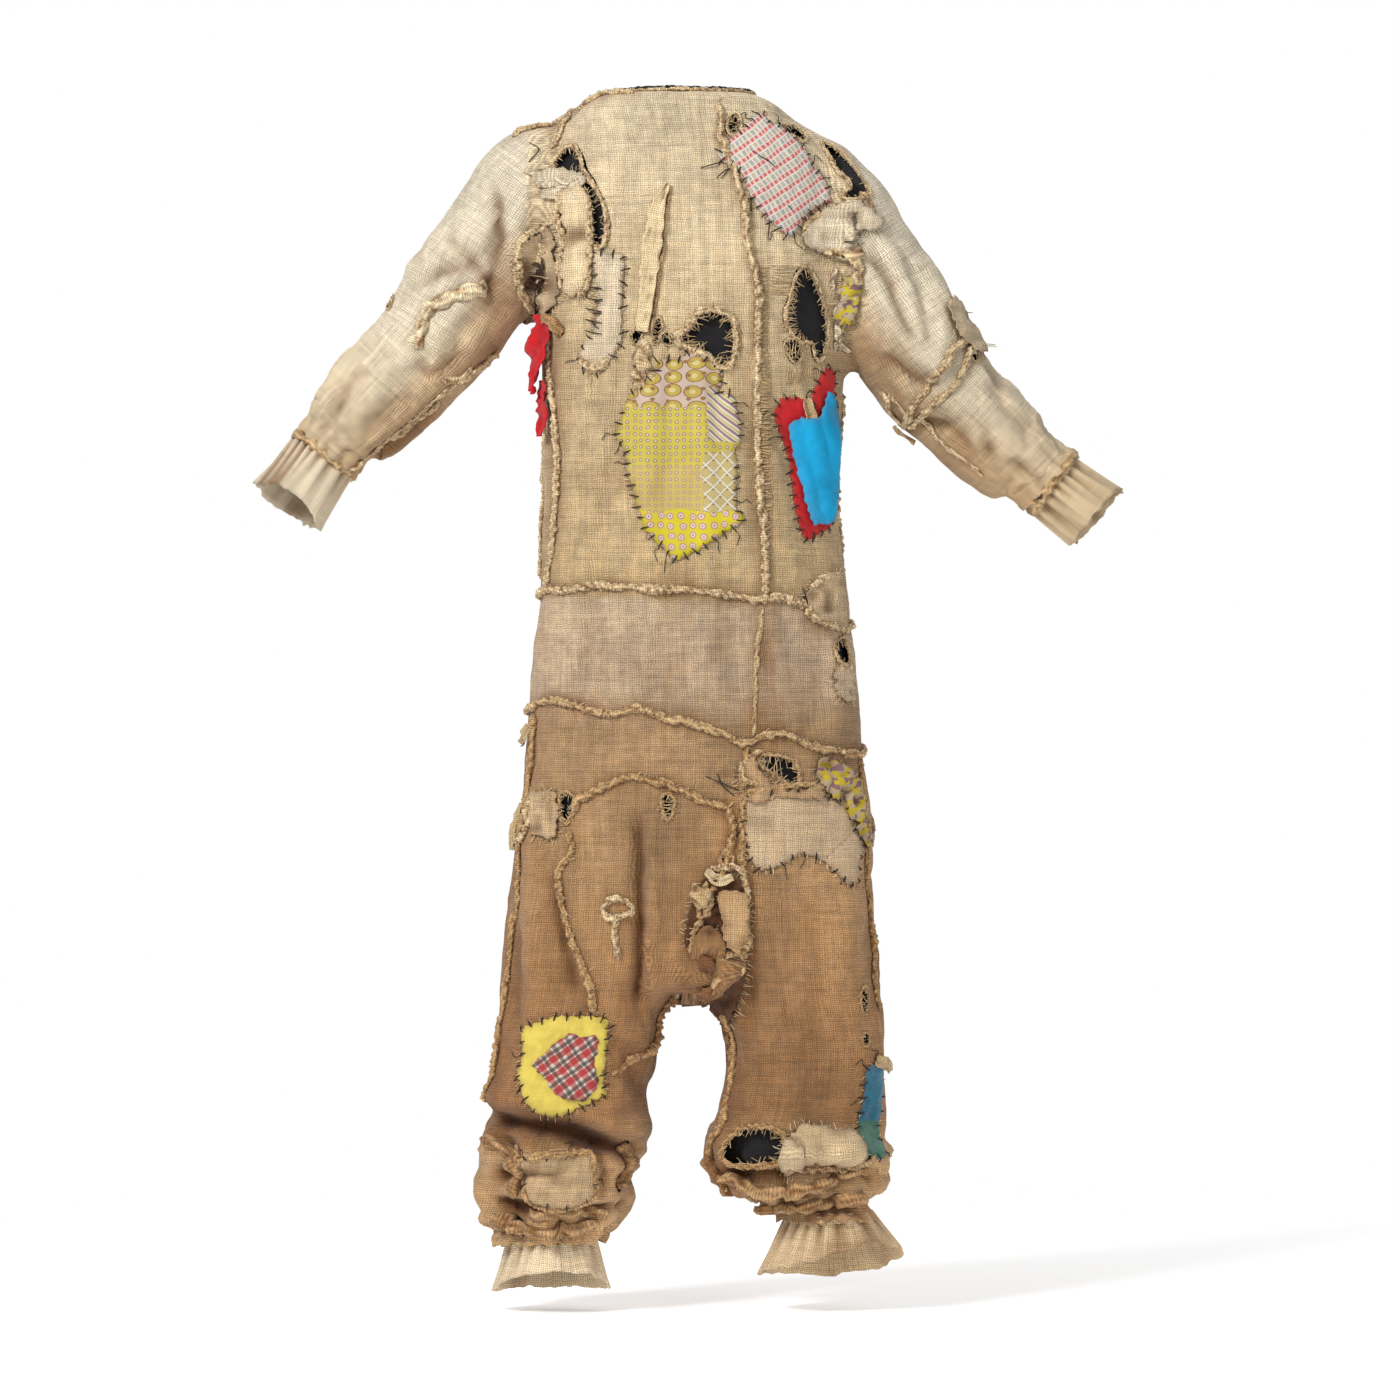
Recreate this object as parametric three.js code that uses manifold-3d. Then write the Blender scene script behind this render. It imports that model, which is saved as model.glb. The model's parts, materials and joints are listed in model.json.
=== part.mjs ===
// A scarecrow costume: a one-piece coverall of coarse burlap panels over a thin black lining, with a zip down the
// back, elastic in the wrists and ankles, frilled cuffs beyond the elastic, and patches sewn on from outside.
// The shells hold the rounded shape that a wearer or a dress form gives them, with the arms held out.
// Millimetres, +Z up. The wearer faces -Y and their left side is +X. The origin is the middle of the neck
// opening, level with the shoulder seams that carry the costume.
import * as THREE from "three";
import { mergeVertices } from "three/addons/utils/BufferGeometryUtils.js";
import Module from "manifold-3d";

const wasm = await Module();
wasm.setup();

// ---- Driving dimensions ----
const BURLAP = 3; // wall of an outer panel, its seam allowances included
const LINING = 1.5;
const LINING_INSET = 8; // from the outside of the burlap to the outside of the lining
const GAP = 0.4; // between pieces that touch
const MID_Y = -8; // the side seams' plane, half way between front and back
const SIDE_SEAM = GAP / 2;
const FRONT_SEAM_X = 77; // the frayed upright seam, left of the middle
const WAIST_SEAM_Z = -583; // between the chest panels and the waist band
const WAIST_HINGE_Z = -765; // the hip seam, where the lower half swings
const TORSO_END_Z = -752;
const HIPS_END_Z = -990;
const LEG_HINGE_Z = -975; // the dropped crotch, where each leg swings by itself
const HIP_BARREL = 113; // radius of the rounded top of the hips, inside the torso's lower edge

// Each section is [z, left edge x, right edge x, half depth front, half depth back, squareness of its corners];
// depths are from MID_Y.
const TORSO = [
  [0, -104, 82, 76, 74],
  [-14, -135, 118, 84, 88],
  [-30, -165, 160, 90, 103],
  [-45, -176, 176, 94, 113],
  [-110, -184, 192, 107, 113],
  [-200, -183, 190, 114, 113],
  [-290, -180, 185, 116, 113],
  [-480, -176, 177, 113, 113],
  [WAIST_SEAM_Z, -180, 187, 115, 113],
  [-650, -187, 195, 118, 116],
  [TORSO_END_Z, -193, 206, 120, 120],
];
const barrelDepth = (z, hinge, radius) => Math.sqrt(radius ** 2 - (z - hinge) ** 2);
const hipSection = (z, left, right) => {
  const depth = barrelDepth(z, WAIST_HINGE_Z, HIP_BARREL);
  return [z, left, right, depth, depth];
};
const HIPS = [
  hipSection(-740, -186, 199),
  hipSection(-765, -187, 200),
  hipSection(-790, -189, 203),
  hipSection(-813, -194, 207),
  [-850, -210, 214, 120, 120, 3],
  [-900, -216, 219, 124, 124, 3.6],
  [HIPS_END_Z, -222, 225, 124, 124, 4],
];
const LEG_BARREL = 85;
const legTop = (z, left, right) => {
  const depth = z > LEG_HINGE_Z ? barrelDepth(z, LEG_HINGE_Z, LEG_BARREL) : LEG_BARREL;
  return [z, left, right, depth, depth];
};
const LEGS = {
  right: [
    legTop(-945, -212, -32),
    legTop(-975, -213, -31),
    legTop(-1012, -218, -28),
    legTop(-1048, -226, -26),
    [-1113, -231, -47, 84, 84],
    [-1184, -238, -50, 84, 84],
    [-1231, -248, -47, 92, 90],
    [-1268, -246, -60, 84, 84],
    [-1302, -253, -71, 86, 84],
    [-1331, -245, -88, 74, 72],
    [-1343, -220, -106, 54, 54],
  ],
  left: [
    legTop(-945, 33, 214),
    legTop(-975, 32, 215),
    legTop(-1012, 28, 219),
    legTop(-1048, 26, 224),
    [-1113, 45, 229, 84, 84],
    [-1184, 50, 230, 84, 84],
    [-1228, 30, 231, 92, 90],
    [-1268, 50, 229, 82, 82],
    [-1300, 76, 216, 68, 68],
    [-1316, 112, 212, 50, 50],
  ],
};
// The frill below each ankle: top z, hem z, and how much lower the hem is at the heel, per millimetre of depth.
const ANKLES = {
  right: { x: -163, top: -1354, hem: -1400, topWide: 50, hemWide: 67, deep: 52, hemSlope: -0.22 },
  left: { x: 165, top: -1327, hem: -1385, topWide: 47, hemWide: 80, deep: 54, hemSlope: -0.28 },
};
const ANKLE_BAND = 10; // height of the elastic

// side is -1 for the wearer's right arm. Angles are from straight down, outwards.
const ARMS = {
  right: {
    side: -1, shoulder: [-191, MID_Y, -112], raise: 34, travel: [19, 84],
    upper: 216, bend: 8.3, fore: 175, turn: -5, cuff: 82,
  },
  left: {
    side: 1, shoulder: [170, MID_Y, -142], raise: 33, travel: [22, 84],
    upper: 228, bend: 13.3, fore: 179, turn: 8, cuff: 72,
  },
};
const SLEEVE_BALL = 75; // the sleeve head, round about the shoulder
const ARMHOLE_CLEARANCE = 4;
const SWEEP_STEPS = 4;
const ELBOW_BALL = 62;
const ELBOW_SLANT = 0.45; // the upper sleeve's end is cut back in front, so that the elbow can bend forward
const WRIST_BAND = 10;
const NECK = { x: -12, y: MID_Y, wide: 84, deep: 66 };

const ZIP_TOP_Z = -50;
const ZIP_END_Z = -560;
const ZIP_BACK_Y = MID_Y + 113; // the outside of the back panels beside the zip
const ZIP_SLIT = 7; // half width between the back panels' edges

const material = (color, roughness, metalness = 0) => new THREE.MeshStandardMaterial({ color, roughness, metalness });
const burlap = material(0xc2a67c, 0.95);
const paleBurlap = material(0xcdb894, 0.95);
const blackLining = material(0x17161a, 0.85);
const elastic = material(0xbfa77f, 0.8);
const plaidCotton = material(0xd9b7ac, 0.85);
const printCotton = material(0xdcc766, 0.85);
const redCotton = material(0xb5262c, 0.85);
const blueSatin = material(0x1596c8, 0.45);
const yellowCotton = material(0xe3cf4a, 0.85);
const tealFelt = material(0x1d7f8d, 0.95);
const zipTape = material(0xb89f77, 0.85);
const zipMetal = material(0xa8894f, 0.4, 1);

// ---- Solids ----
function solid(geometry) {
  const bare = new THREE.BufferGeometry().setAttribute("position", geometry.getAttribute("position"));
  if (geometry.index) bare.setIndex(geometry.index);
  const merged = mergeVertices(bare, 1e-4);
  return new wasm.Manifold(
    new wasm.Mesh({
      numProp: 3,
      vertProperties: merged.getAttribute("position").array,
      triVerts: new Uint32Array(merged.index.array),
    }),
  );
}

function meshOf(name, made, finish) {
  const data = made.getMesh();
  const geometry = new THREE.BufferGeometry();
  geometry.setAttribute("position", new THREE.BufferAttribute(data.vertProperties, 3));
  geometry.setIndex(new THREE.BufferAttribute(data.triVerts, 1));
  geometry.computeVertexNormals();
  const mesh = new THREE.Mesh(geometry, finish);
  mesh.name = name;
  return mesh;
}

// A box from its lowest to its highest corner.
function box(low, high) {
  const size = high.map((value, axis) => value - low[axis]);
  const geometry = new THREE.BoxGeometry(...size);
  geometry.translate(...low.map((value, axis) => value + size[axis] / 2));
  return solid(geometry);
}
const FAR = 3000;
const slab = (limits) => {
  const at = { x: [-FAR, FAR], y: [-FAR, FAR], z: [-FAR, FAR], ...limits };
  return box([at.x[0], at.y[0], at.z[0]], [at.x[1], at.y[1], at.z[1]]);
};
const FRONT = [-FAR, MID_Y - SIDE_SEAM];
const BACK = [MID_Y + SIDE_SEAM, FAR];

// One closed ring of points for each section of a skin. The higher the power, the squarer the ring's corners.
function ring(section, count, usualPower) {
  const power = section.power ?? usualPower;
  const points = [];
  for (let i = 0; i < count; i += 1) {
    const angle = ((i + 0.5) / count) * 2 * Math.PI;
    const round = (value) => Math.sign(value) * Math.abs(value) ** (2 / power);
    const x = section.x + section.wide * round(Math.cos(angle));
    const away = round(Math.sin(angle));
    const y = section.y + away * (away < 0 ? section.front : section.back);
    points.push([x, y, section.z + (section.slope ?? 0) * (y - section.y)]);
  }
  return points;
}

// A closed solid through rings of points, with a flat cap on each end.
function skin(sections, count, power) {
  const up = sections[0].z < sections[sections.length - 1].z;
  const rings = (up ? sections : [...sections].reverse()).map((section) => ring(section, count, power));
  const middle = (points) => [0, 1, 2].map((axis) => points.reduce((sum, p) => sum + p[axis], 0) / count);
  const positions = [...rings.flat(), middle(rings[0]), middle(rings[rings.length - 1])].flat();
  const index = [];
  const low = rings.length * count;
  const top = (rings.length - 1) * count;
  for (let i = 0; i < count; i += 1) {
    const next = (i + 1) % count;
    for (let k = 0; k + 1 < rings.length; k += 1) {
      const [a, b, c, d] = [k * count + i, k * count + next, (k + 1) * count + next, (k + 1) * count + i];
      index.push(a, b, c, a, c, d);
    }
    index.push(low, next, i, low + 1, top + i, top + next);
  }
  const geometry = new THREE.BufferGeometry();
  geometry.setAttribute("position", new THREE.BufferAttribute(new Float32Array(positions), 3));
  geometry.setIndex(index);
  return solid(geometry);
}

// The sections of a body tube, grown outwards, and lengthened past its lower and upper ends.
function grown(sections, grow, longer = 0, higher = longer) {
  const last = sections.length - 1;
  return sections.map(([z, left, right, front, back, power], i) => ({
    z: z + (i === 0 ? higher : 0) - (i === last ? longer : 0),
    x: (left + right) / 2,
    wide: (right - left) / 2 + grow,
    y: MID_Y,
    front: front + grow,
    back: back + grow,
    power,
  }));
}
const BODY_POWER = 2.5;
const BODY_SIDES = 32;
const shellOf = (sections, count, outer, wall, longer = 4) =>
  skin(grown(sections, outer), count, BODY_POWER).subtract(
    skin(grown(sections, outer - wall, longer), count, BODY_POWER),
  );

// A round tube about the local Z axis; each section is [z, radius, slope of the ring].
const TUBE_SIDES = 16;
function tube(sections, wall, sides = TUBE_SIDES, squeeze = 1) {
  const make = (inset, longer) =>
    skin(
      sections.map(([z, radius, slope = 0], i) => ({
        z: z - (i === 0 ? longer : 0) + (i === sections.length - 1 ? longer : 0),
        x: 0,
        y: 0,
        wide: radius - inset,
        front: (radius - inset) * squeeze,
        back: (radius - inset) * squeeze,
        slope,
      })),
      sides,
      2,
    );
  return make(0, 0).subtract(make(wall, 3));
}

// An outline in the X-Z plane, as a block through the whole depth in front of the side seams.
function frontBlock(outline) {
  const shape = new THREE.Shape(outline.map(([x, z]) => new THREE.Vector2(x, z)));
  const geometry = new THREE.ExtrudeGeometry(shape, { depth: FAR, bevelEnabled: false });
  geometry.rotateX(Math.PI / 2); // x, z stay in the plane and the depth runs to -Y
  geometry.translate(0, MID_Y, 0);
  return solid(geometry);
}

// A patch: the stretch of a body tube's skin, this far above it and this thick, inside an outline.
function patchOn(sections, outline, above, thick, sides = BODY_SIDES) {
  return shellOf(sections, sides, above + thick, thick).intersect(frontBlock(outline));
}

const costume = new THREE.Group();
const radians = THREE.MathUtils.degToRad;

// ---- Armholes: what a sleeve sweeps through over its whole travel, in degrees from straight down ----
function sleeveSweep(arm, clearance) {
  const { side, shoulder, travel, upper } = arm;
  let swept = solid(new THREE.SphereGeometry(SLEEVE_BALL + clearance, 20, 14).translate(...shoulder));
  for (let step = 0; step <= SWEEP_STEPS; step += 1) {
    const angle = THREE.MathUtils.lerp(travel[0], travel[1], step / SWEEP_STEPS);
    const radius = SLEEVE_BALL + clearance - 2;
    const path = new THREE.CylinderGeometry(radius, radius, upper + 20, 20);
    path.translate(0, -upper / 2 - 10, 0).rotateX(Math.PI / 2).rotateY(side * -radians(angle));
    swept = swept.add(solid(path.translate(...shoulder)));
  }
  return swept;
}

// ---- Torso: chest and back panels, waist band, lining and neck ----
const neckHole = (shrink, low, high) => {
  const geometry = new THREE.CylinderGeometry(1, 1, high - low, 32);
  geometry.rotateX(Math.PI / 2).scale(NECK.wide - shrink, NECK.deep - shrink, 1);
  return solid(geometry.translate(NECK.x, NECK.y, (low + high) / 2));
};
const armholes = (clearance) => sleeveSweep(ARMS.right, clearance).add(sleeveSweep(ARMS.left, clearance));

function torsoPanels() {
  const zipSlit = slab({ x: [-ZIP_SLIT, ZIP_SLIT], y: BACK, z: [ZIP_END_Z - 6, FAR] });
  const lowered = TORSO.map(([z, ...edges]) => [z - BURLAP, ...edges]); // so that the sloping top has a wall too
  const hollow = skin(grown(lowered, -BURLAP, 4, 0), BODY_SIDES, BODY_POWER);
  const shell = skin(grown(TORSO, 0), BODY_SIDES, BODY_POWER)
    .subtract(hollow)
    .subtract(neckHole(0, -40, 40))
    .subtract(armholes(ARMHOLE_CLEARANCE))
    .subtract(zipSlit);
  const chest = [WAIST_SEAM_Z + GAP / 2, FAR];
  const waist = [-FAR, WAIST_SEAM_Z - GAP / 2];
  const wide = [-FAR, FRONT_SEAM_X - GAP / 2];
  const narrow = [FRONT_SEAM_X + GAP / 2, FAR];
  const panels = {
    front_panel: { x: wide, y: FRONT, z: chest },
    front_side_panel: { x: narrow, y: FRONT, z: chest },
    front_waist_band: { x: wide, y: FRONT, z: waist },
    side_waist_band: { x: narrow, y: FRONT, z: waist },
    back_panel_right: { x: [-FAR, -GAP / 2], y: BACK, z: chest },
    back_panel_left: { x: [GAP / 2, FAR], y: BACK, z: chest },
    back_waist_band: { y: BACK, z: waist },
  };
  for (const [name, limits] of Object.entries(panels)) {
    costume.add(meshOf(name, shell.intersect(slab(limits)), burlap));
  }
}

function torsoLining() {
  const top = -60;
  const end = -680;
  const shell = shellOf(TORSO, 20, -LINING_INSET, LINING)
    .intersect(slab({ z: [end, top] }))
    .subtract(armholes(ARMHOLE_CLEARANCE + 3))
    .subtract(slab({ x: [-22, 22], y: BACK, z: [ZIP_END_Z - 14, FAR] }));
  costume.add(meshOf("torso_lining_front", shell.intersect(slab({ y: FRONT })), blackLining));
  costume.add(meshOf("torso_lining_back", shell.intersect(slab({ y: BACK })), blackLining));
}

function neckFacing() {
  const low = -22;
  const facing = neckHole(GAP, low, 0)
    .subtract(neckHole(GAP + 2, low - 5, 5))
    .subtract(slab({ x: [-5, 5], y: BACK }));
  costume.add(meshOf("neck_facing", facing, blackLining));
}

// ---- Zip: two tapes, two rows of teeth, a bottom stop, and the slider with its pull ----
const TEETH = { inner: 0.8, outer: 3.2, low: ZIP_BACK_Y - 6.4, high: ZIP_BACK_Y - 3.4 };
function zip() {
  for (const [hand, side] of [["right", -1], ["left", 1]]) {
    const across = (a, b) => [Math.min(side * a, side * b), Math.max(side * a, side * b)];
    const tapeY = [ZIP_BACK_Y - 5.4, ZIP_BACK_Y - 4.4];
    const span = [ZIP_END_Z, ZIP_TOP_Z];
    const tape = slab({ x: across(TEETH.outer + 0.3, 18), y: tapeY, z: [span[0] - 4, span[1] - 6] });
    const teeth = slab({ x: across(TEETH.inner, TEETH.outer), y: [TEETH.low, TEETH.high], z: span });
    costume.add(meshOf(`zip_tape_${hand}`, tape, zipTape));
    costume.add(meshOf(`zip_teeth_${hand}`, teeth, zipMetal));
  }
  const stop = slab({ x: [-TEETH.outer, TEETH.outer], y: [TEETH.low, TEETH.high], z: [ZIP_END_Z - 6, ZIP_END_Z - GAP] });
  costume.add(meshOf("zip_bottom_stop", stop, zipMetal));
  costume.add(meshOf("zip_slider", zipSlider(), zipMetal));
  costume.add(meshOf("zip_pull", zipPull(), zipMetal));
}

const SLIDER = { top: -52, low: -64, half: 5.5 };
const PULL_PIVOT = { y: ZIP_BACK_Y + 1, z: -60.5 };
function zipSlider() {
  const plate = (y, half) => slab({ x: [-half, half], y, z: [SLIDER.low, SLIDER.top] });
  const front = plate([TEETH.high + 0.6, TEETH.high + 2.6], SLIDER.half);
  const back = plate([TEETH.low - 2.2, TEETH.low - 0.4], SLIDER.half);
  const web = slab({ x: [-0.4, 0.4], y: [TEETH.low - 1, TEETH.high + 1], z: [SLIDER.low + 3, SLIDER.top - 1] });
  const arch = slab({ x: [-1.2, 1.2], y: [TEETH.high + 1, ZIP_BACK_Y + 4.5], z: [-63.5, -52.5] });
  const eye = slab({ x: [-2, 2], y: [TEETH.high + 2.6, ZIP_BACK_Y + 3], z: [-62, -54] });
  return front.add(back).add(web).add(arch.subtract(eye));
}

function zipPull() {
  const { y, z } = PULL_PIVOT;
  const flat = [y - 0.6, y + 0.6];
  const blade = slab({ x: [-4, 4], y: flat, z: [z - 34, z + 0.6] });
  const eye = slab({ x: [-2, 2], y: [y - 5, y + 5], z: [z - 11.5, z - 0.6] });
  const hole = new THREE.CylinderGeometry(1.8, 1.8, 10, 16).translate(0, y, z - 29);
  return blade.subtract(eye).subtract(solid(hole));
}

// ---- Patches on the chest, as outlines in X and Z ----
function chestPatches() {
  const outlines = {
    plaid_patch: [[[38, -77], [64, -42], [92, -34], [136, -84], [122, -150], [100, -172], [58, -112]], plaidCotton],
    print_patch: [[[-80, -359], [-47, -318], [30, -326], [61, -406], [56, -500], [0, -548], [-47, -495]], printCotton],
    red_patch: [[[106, -366], [142, -338], [172, -342], [174, -500], [143, -526], [120, -490]], redCotton],
    chest_patch: [[[-126, -190], [-78, -198], [-68, -278], [-78, -326], [-124, -334], [-130, -262]], paleBurlap],
    chest_strip: [[[-46, -114], [-29, -116], [-38, -230], [-48, -313], [-61, -313], [-53, -240]], paleBurlap],
  };
  for (const [name, [outline, finish]] of Object.entries(outlines)) {
    costume.add(meshOf(name, patchOn(TORSO, outline, GAP + 0.2, 1.5), finish));
  }
  const blue = [[128, -385], [160, -356], [172, -400], [170, -494], [140, -505], [126, -450]];
  costume.add(meshOf("blue_patch", patchOn(TORSO, blue, GAP + 2.4, 1.5), blueSatin));
}

// ---- Hips: front and seat panels, lining, and the crotch gusset that joins front to back ----
function hips() {
  const shell = shellOf(HIPS, BODY_SIDES, 0, BURLAP);
  const seam = 40;
  const panels = {
    hip_panel_right: { x: [-FAR, seam - GAP / 2], y: FRONT },
    hip_panel_left: { x: [seam + GAP / 2, FAR], y: FRONT },
    seat_panel_right: { x: [-FAR, -GAP / 2], y: BACK },
    seat_panel_left: { x: [GAP / 2, FAR], y: BACK },
  };
  for (const [name, limits] of Object.entries(panels)) {
    costume.add(meshOf(name, shell.intersect(slab(limits)), burlap));
  }
  const lining = shellOf(HIPS, 20, -LINING_INSET, LINING).intersect(slab({ z: [-925, -800] }));
  costume.add(meshOf("hip_lining", lining, blackLining));
  costume.add(meshOf("crotch_gusset", gusset(), burlap));
  const thigh = [[66, -840], [130, -836], [200, -850], [206, -905], [188, -931], [130, -895], [82, -911]];
  costume.add(meshOf("thigh_patch", patchOn(HIPS, thigh, GAP + 0.2, 1.5), paleBurlap));
}

function gusset() {
  const half = 21;
  const drop = 50;
  const reach = 121;
  const arc = (radiusY, radiusZ, backwards) => {
    const steps = 14;
    const points = [];
    for (let i = 0; i <= steps; i += 1) {
      const angle = Math.PI * (1 + (backwards ? steps - i : i) / steps);
      points.push(new THREE.Vector2(radiusY * Math.cos(angle), radiusZ * Math.sin(angle)));
    }
    return points;
  };
  const outline = [...arc(reach, drop, false), ...arc(reach - BURLAP, drop - BURLAP, true)];
  const geometry = new THREE.ExtrudeGeometry(new THREE.Shape(outline), { depth: 2 * half, bevelEnabled: false });
  geometry.rotateX(Math.PI / 2).rotateZ(Math.PI / 2); // the outline's axes become Y and Z, the depth becomes X
  geometry.translate(-half, MID_Y, HIPS_END_Z - GAP);
  return solid(geometry);
}

// ---- Legs: a burlap tube, its lining, the elastic and the frill ----
const LEG_SIDES = 20;
function leg(hand) {
  const sections = LEGS[hand];
  costume.add(meshOf(`leg_${hand}`, shellOf(sections, LEG_SIDES, 0, BURLAP), burlap));
  const lining = shellOf(sections, 12, -LINING_INSET - 2, LINING).intersect(slab({ z: [-1215, -1000] }));
  costume.add(meshOf(`leg_lining_${hand}`, lining, blackLining));
  const { x, top, hem, topWide, hemWide, deep, hemSlope } = ANKLES[hand];
  const squeeze = deep / topWide;
  const band = tube([[top + GAP, topWide], [top + ANKLE_BAND - GAP, topWide]], BURLAP, LEG_SIDES, squeeze);
  costume.add(placed(`ankle_elastic_${hand}`, band, elastic, x));
  const frill = tube([[hem, hemWide, hemSlope], [(top + hem) / 2, (topWide + hemWide) / 2, hemSlope / 2],
    [top, topWide]], BURLAP, LEG_SIDES, squeeze);
  costume.add(placed(`ankle_cuff_${hand}`, frill, paleBurlap, x));
}

function placed(name, made, finish, x) {
  const mesh = meshOf(name, made, finish);
  mesh.position.set(x, MID_Y, 0);
  return mesh;
}

function legPatches() {
  const onRight = {
    yellow_knee_patch: [[[-198, -1096], [-98, -1081], [-99, -1181], [-171, -1197], [-194, -1160]], 0.6, yellowCotton],
    plaid_knee_patch: [[[-178, -1125], [-135, -1101], [-107, -1108], [-110, -1168], [-131, -1182]], 2.6, plaidCotton],
    shin_patch: [[[-192, -1244], [-110, -1242], [-116, -1300], [-184, -1304]], 0.6, paleBurlap],
  };
  for (const [name, [outline, above, finish]] of Object.entries(onRight)) {
    costume.add(meshOf(name, patchOn(LEGS.right, outline, above, 1.5, LEG_SIDES), finish));
  }
  const teal = [[204, -1139], [236, -1134], [236, -1250], [202, -1246]];
  costume.add(meshOf("teal_patch", patchOn(LEGS.left, teal, GAP + 0.2, 1.5, LEG_SIDES), tealFelt));
}

// ---- Sleeves: upper and lower tubes with their linings, the elastic and the frill ----
function sleeve(hand) {
  const { side, shoulder, raise, upper, bend, fore, turn, cuff } = ARMS[hand];
  const arm = new THREE.Group();
  arm.position.set(...shoulder);
  arm.rotation.y = side * (Math.PI - radians(raise));
  const upperTube = tube(
    [[-30, Math.sqrt(SLEEVE_BALL ** 2 - 30 ** 2)], [0, SLEEVE_BALL], [60, 72], [140, 68],
      [upper - 20, 67.5, ELBOW_SLANT]],
    BURLAP,
  );
  arm.add(meshOf(`upper_sleeve_${hand}`, upperTube, burlap));
  arm.add(meshOf(`upper_sleeve_lining_${hand}`, tube([[25, 65], [140, 61]], LINING, 12), blackLining));

  const forearm = new THREE.Group();
  forearm.position.set(0, 0, upper);
  forearm.rotation.y = -side * radians(bend);
  const narrowest = 40;
  const lowerTube = tube(
    [[-25, Math.sqrt(ELBOW_BALL ** 2 - 25 ** 2)], [0, ELBOW_BALL], [60, 60], [115, 58], [fore - 22, 52],
      [fore, narrowest]],
    BURLAP,
  );
  forearm.add(meshOf(`lower_sleeve_${hand}`, lowerTube, burlap));
  forearm.add(meshOf(`lower_sleeve_lining_${hand}`, tube([[5, 54], [fore - 40, 47]], LINING, 12), blackLining));
  const band = tube([[fore + GAP, narrowest], [fore + WRIST_BAND - GAP, narrowest]], BURLAP);
  forearm.add(meshOf(`wrist_elastic_${hand}`, band, elastic));

  const frill = new THREE.Group();
  frill.position.set(0, 0, fore + WRIST_BAND);
  frill.rotation.y = -side * radians(turn);
  const start = narrowest * Math.sin(radians(Math.abs(turn))) + 1; // clear of the elastic, though it is turned
  frill.add(meshOf(`wrist_cuff_${hand}`, tube([[start, narrowest], [cuff / 2, 41], [cuff - 6, 38, 0.12]], BURLAP),
    paleBurlap));
  forearm.add(frill);
  arm.add(forearm);
  costume.add(arm);
}

torsoPanels();
torsoLining();
neckFacing();
zip();
chestPatches();
hips();
for (const hand of ["right", "left"]) {
  leg(hand);
  sleeve(hand);
}
legPatches();

export default costume;
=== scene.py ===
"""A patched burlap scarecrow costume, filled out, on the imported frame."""
import contextlib
import itertools
import json
import math
import random

import bmesh
import bpy
import numpy as np
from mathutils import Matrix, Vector, geometry
from mathutils.bvhtree import BVHTree

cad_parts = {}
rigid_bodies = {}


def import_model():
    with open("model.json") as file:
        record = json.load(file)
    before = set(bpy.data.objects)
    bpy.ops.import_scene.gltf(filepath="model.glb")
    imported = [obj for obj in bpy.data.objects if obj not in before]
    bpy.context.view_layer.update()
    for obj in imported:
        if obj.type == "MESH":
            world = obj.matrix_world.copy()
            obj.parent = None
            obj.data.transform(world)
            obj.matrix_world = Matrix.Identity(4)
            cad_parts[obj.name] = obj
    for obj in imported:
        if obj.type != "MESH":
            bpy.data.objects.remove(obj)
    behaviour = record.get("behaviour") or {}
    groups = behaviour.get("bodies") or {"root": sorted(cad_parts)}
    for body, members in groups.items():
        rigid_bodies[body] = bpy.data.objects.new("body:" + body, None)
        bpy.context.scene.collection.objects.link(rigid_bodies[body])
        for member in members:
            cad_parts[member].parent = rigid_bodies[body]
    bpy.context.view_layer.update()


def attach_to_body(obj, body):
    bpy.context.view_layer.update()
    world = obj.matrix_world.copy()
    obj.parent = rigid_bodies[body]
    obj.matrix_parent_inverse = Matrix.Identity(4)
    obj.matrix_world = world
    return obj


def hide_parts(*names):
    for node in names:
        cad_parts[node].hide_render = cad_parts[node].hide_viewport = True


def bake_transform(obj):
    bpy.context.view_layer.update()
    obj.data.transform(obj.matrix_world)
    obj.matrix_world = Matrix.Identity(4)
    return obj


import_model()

MM = 0.001
SCENE = bpy.context.scene

# ---- The garment's shape, in millimetres, as the CAD has it ----
MID_Y = -8.0
BODY_POWER = 2.5
FACING_SHARE = 0.94  # of a tube's half width is seen from the front
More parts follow.
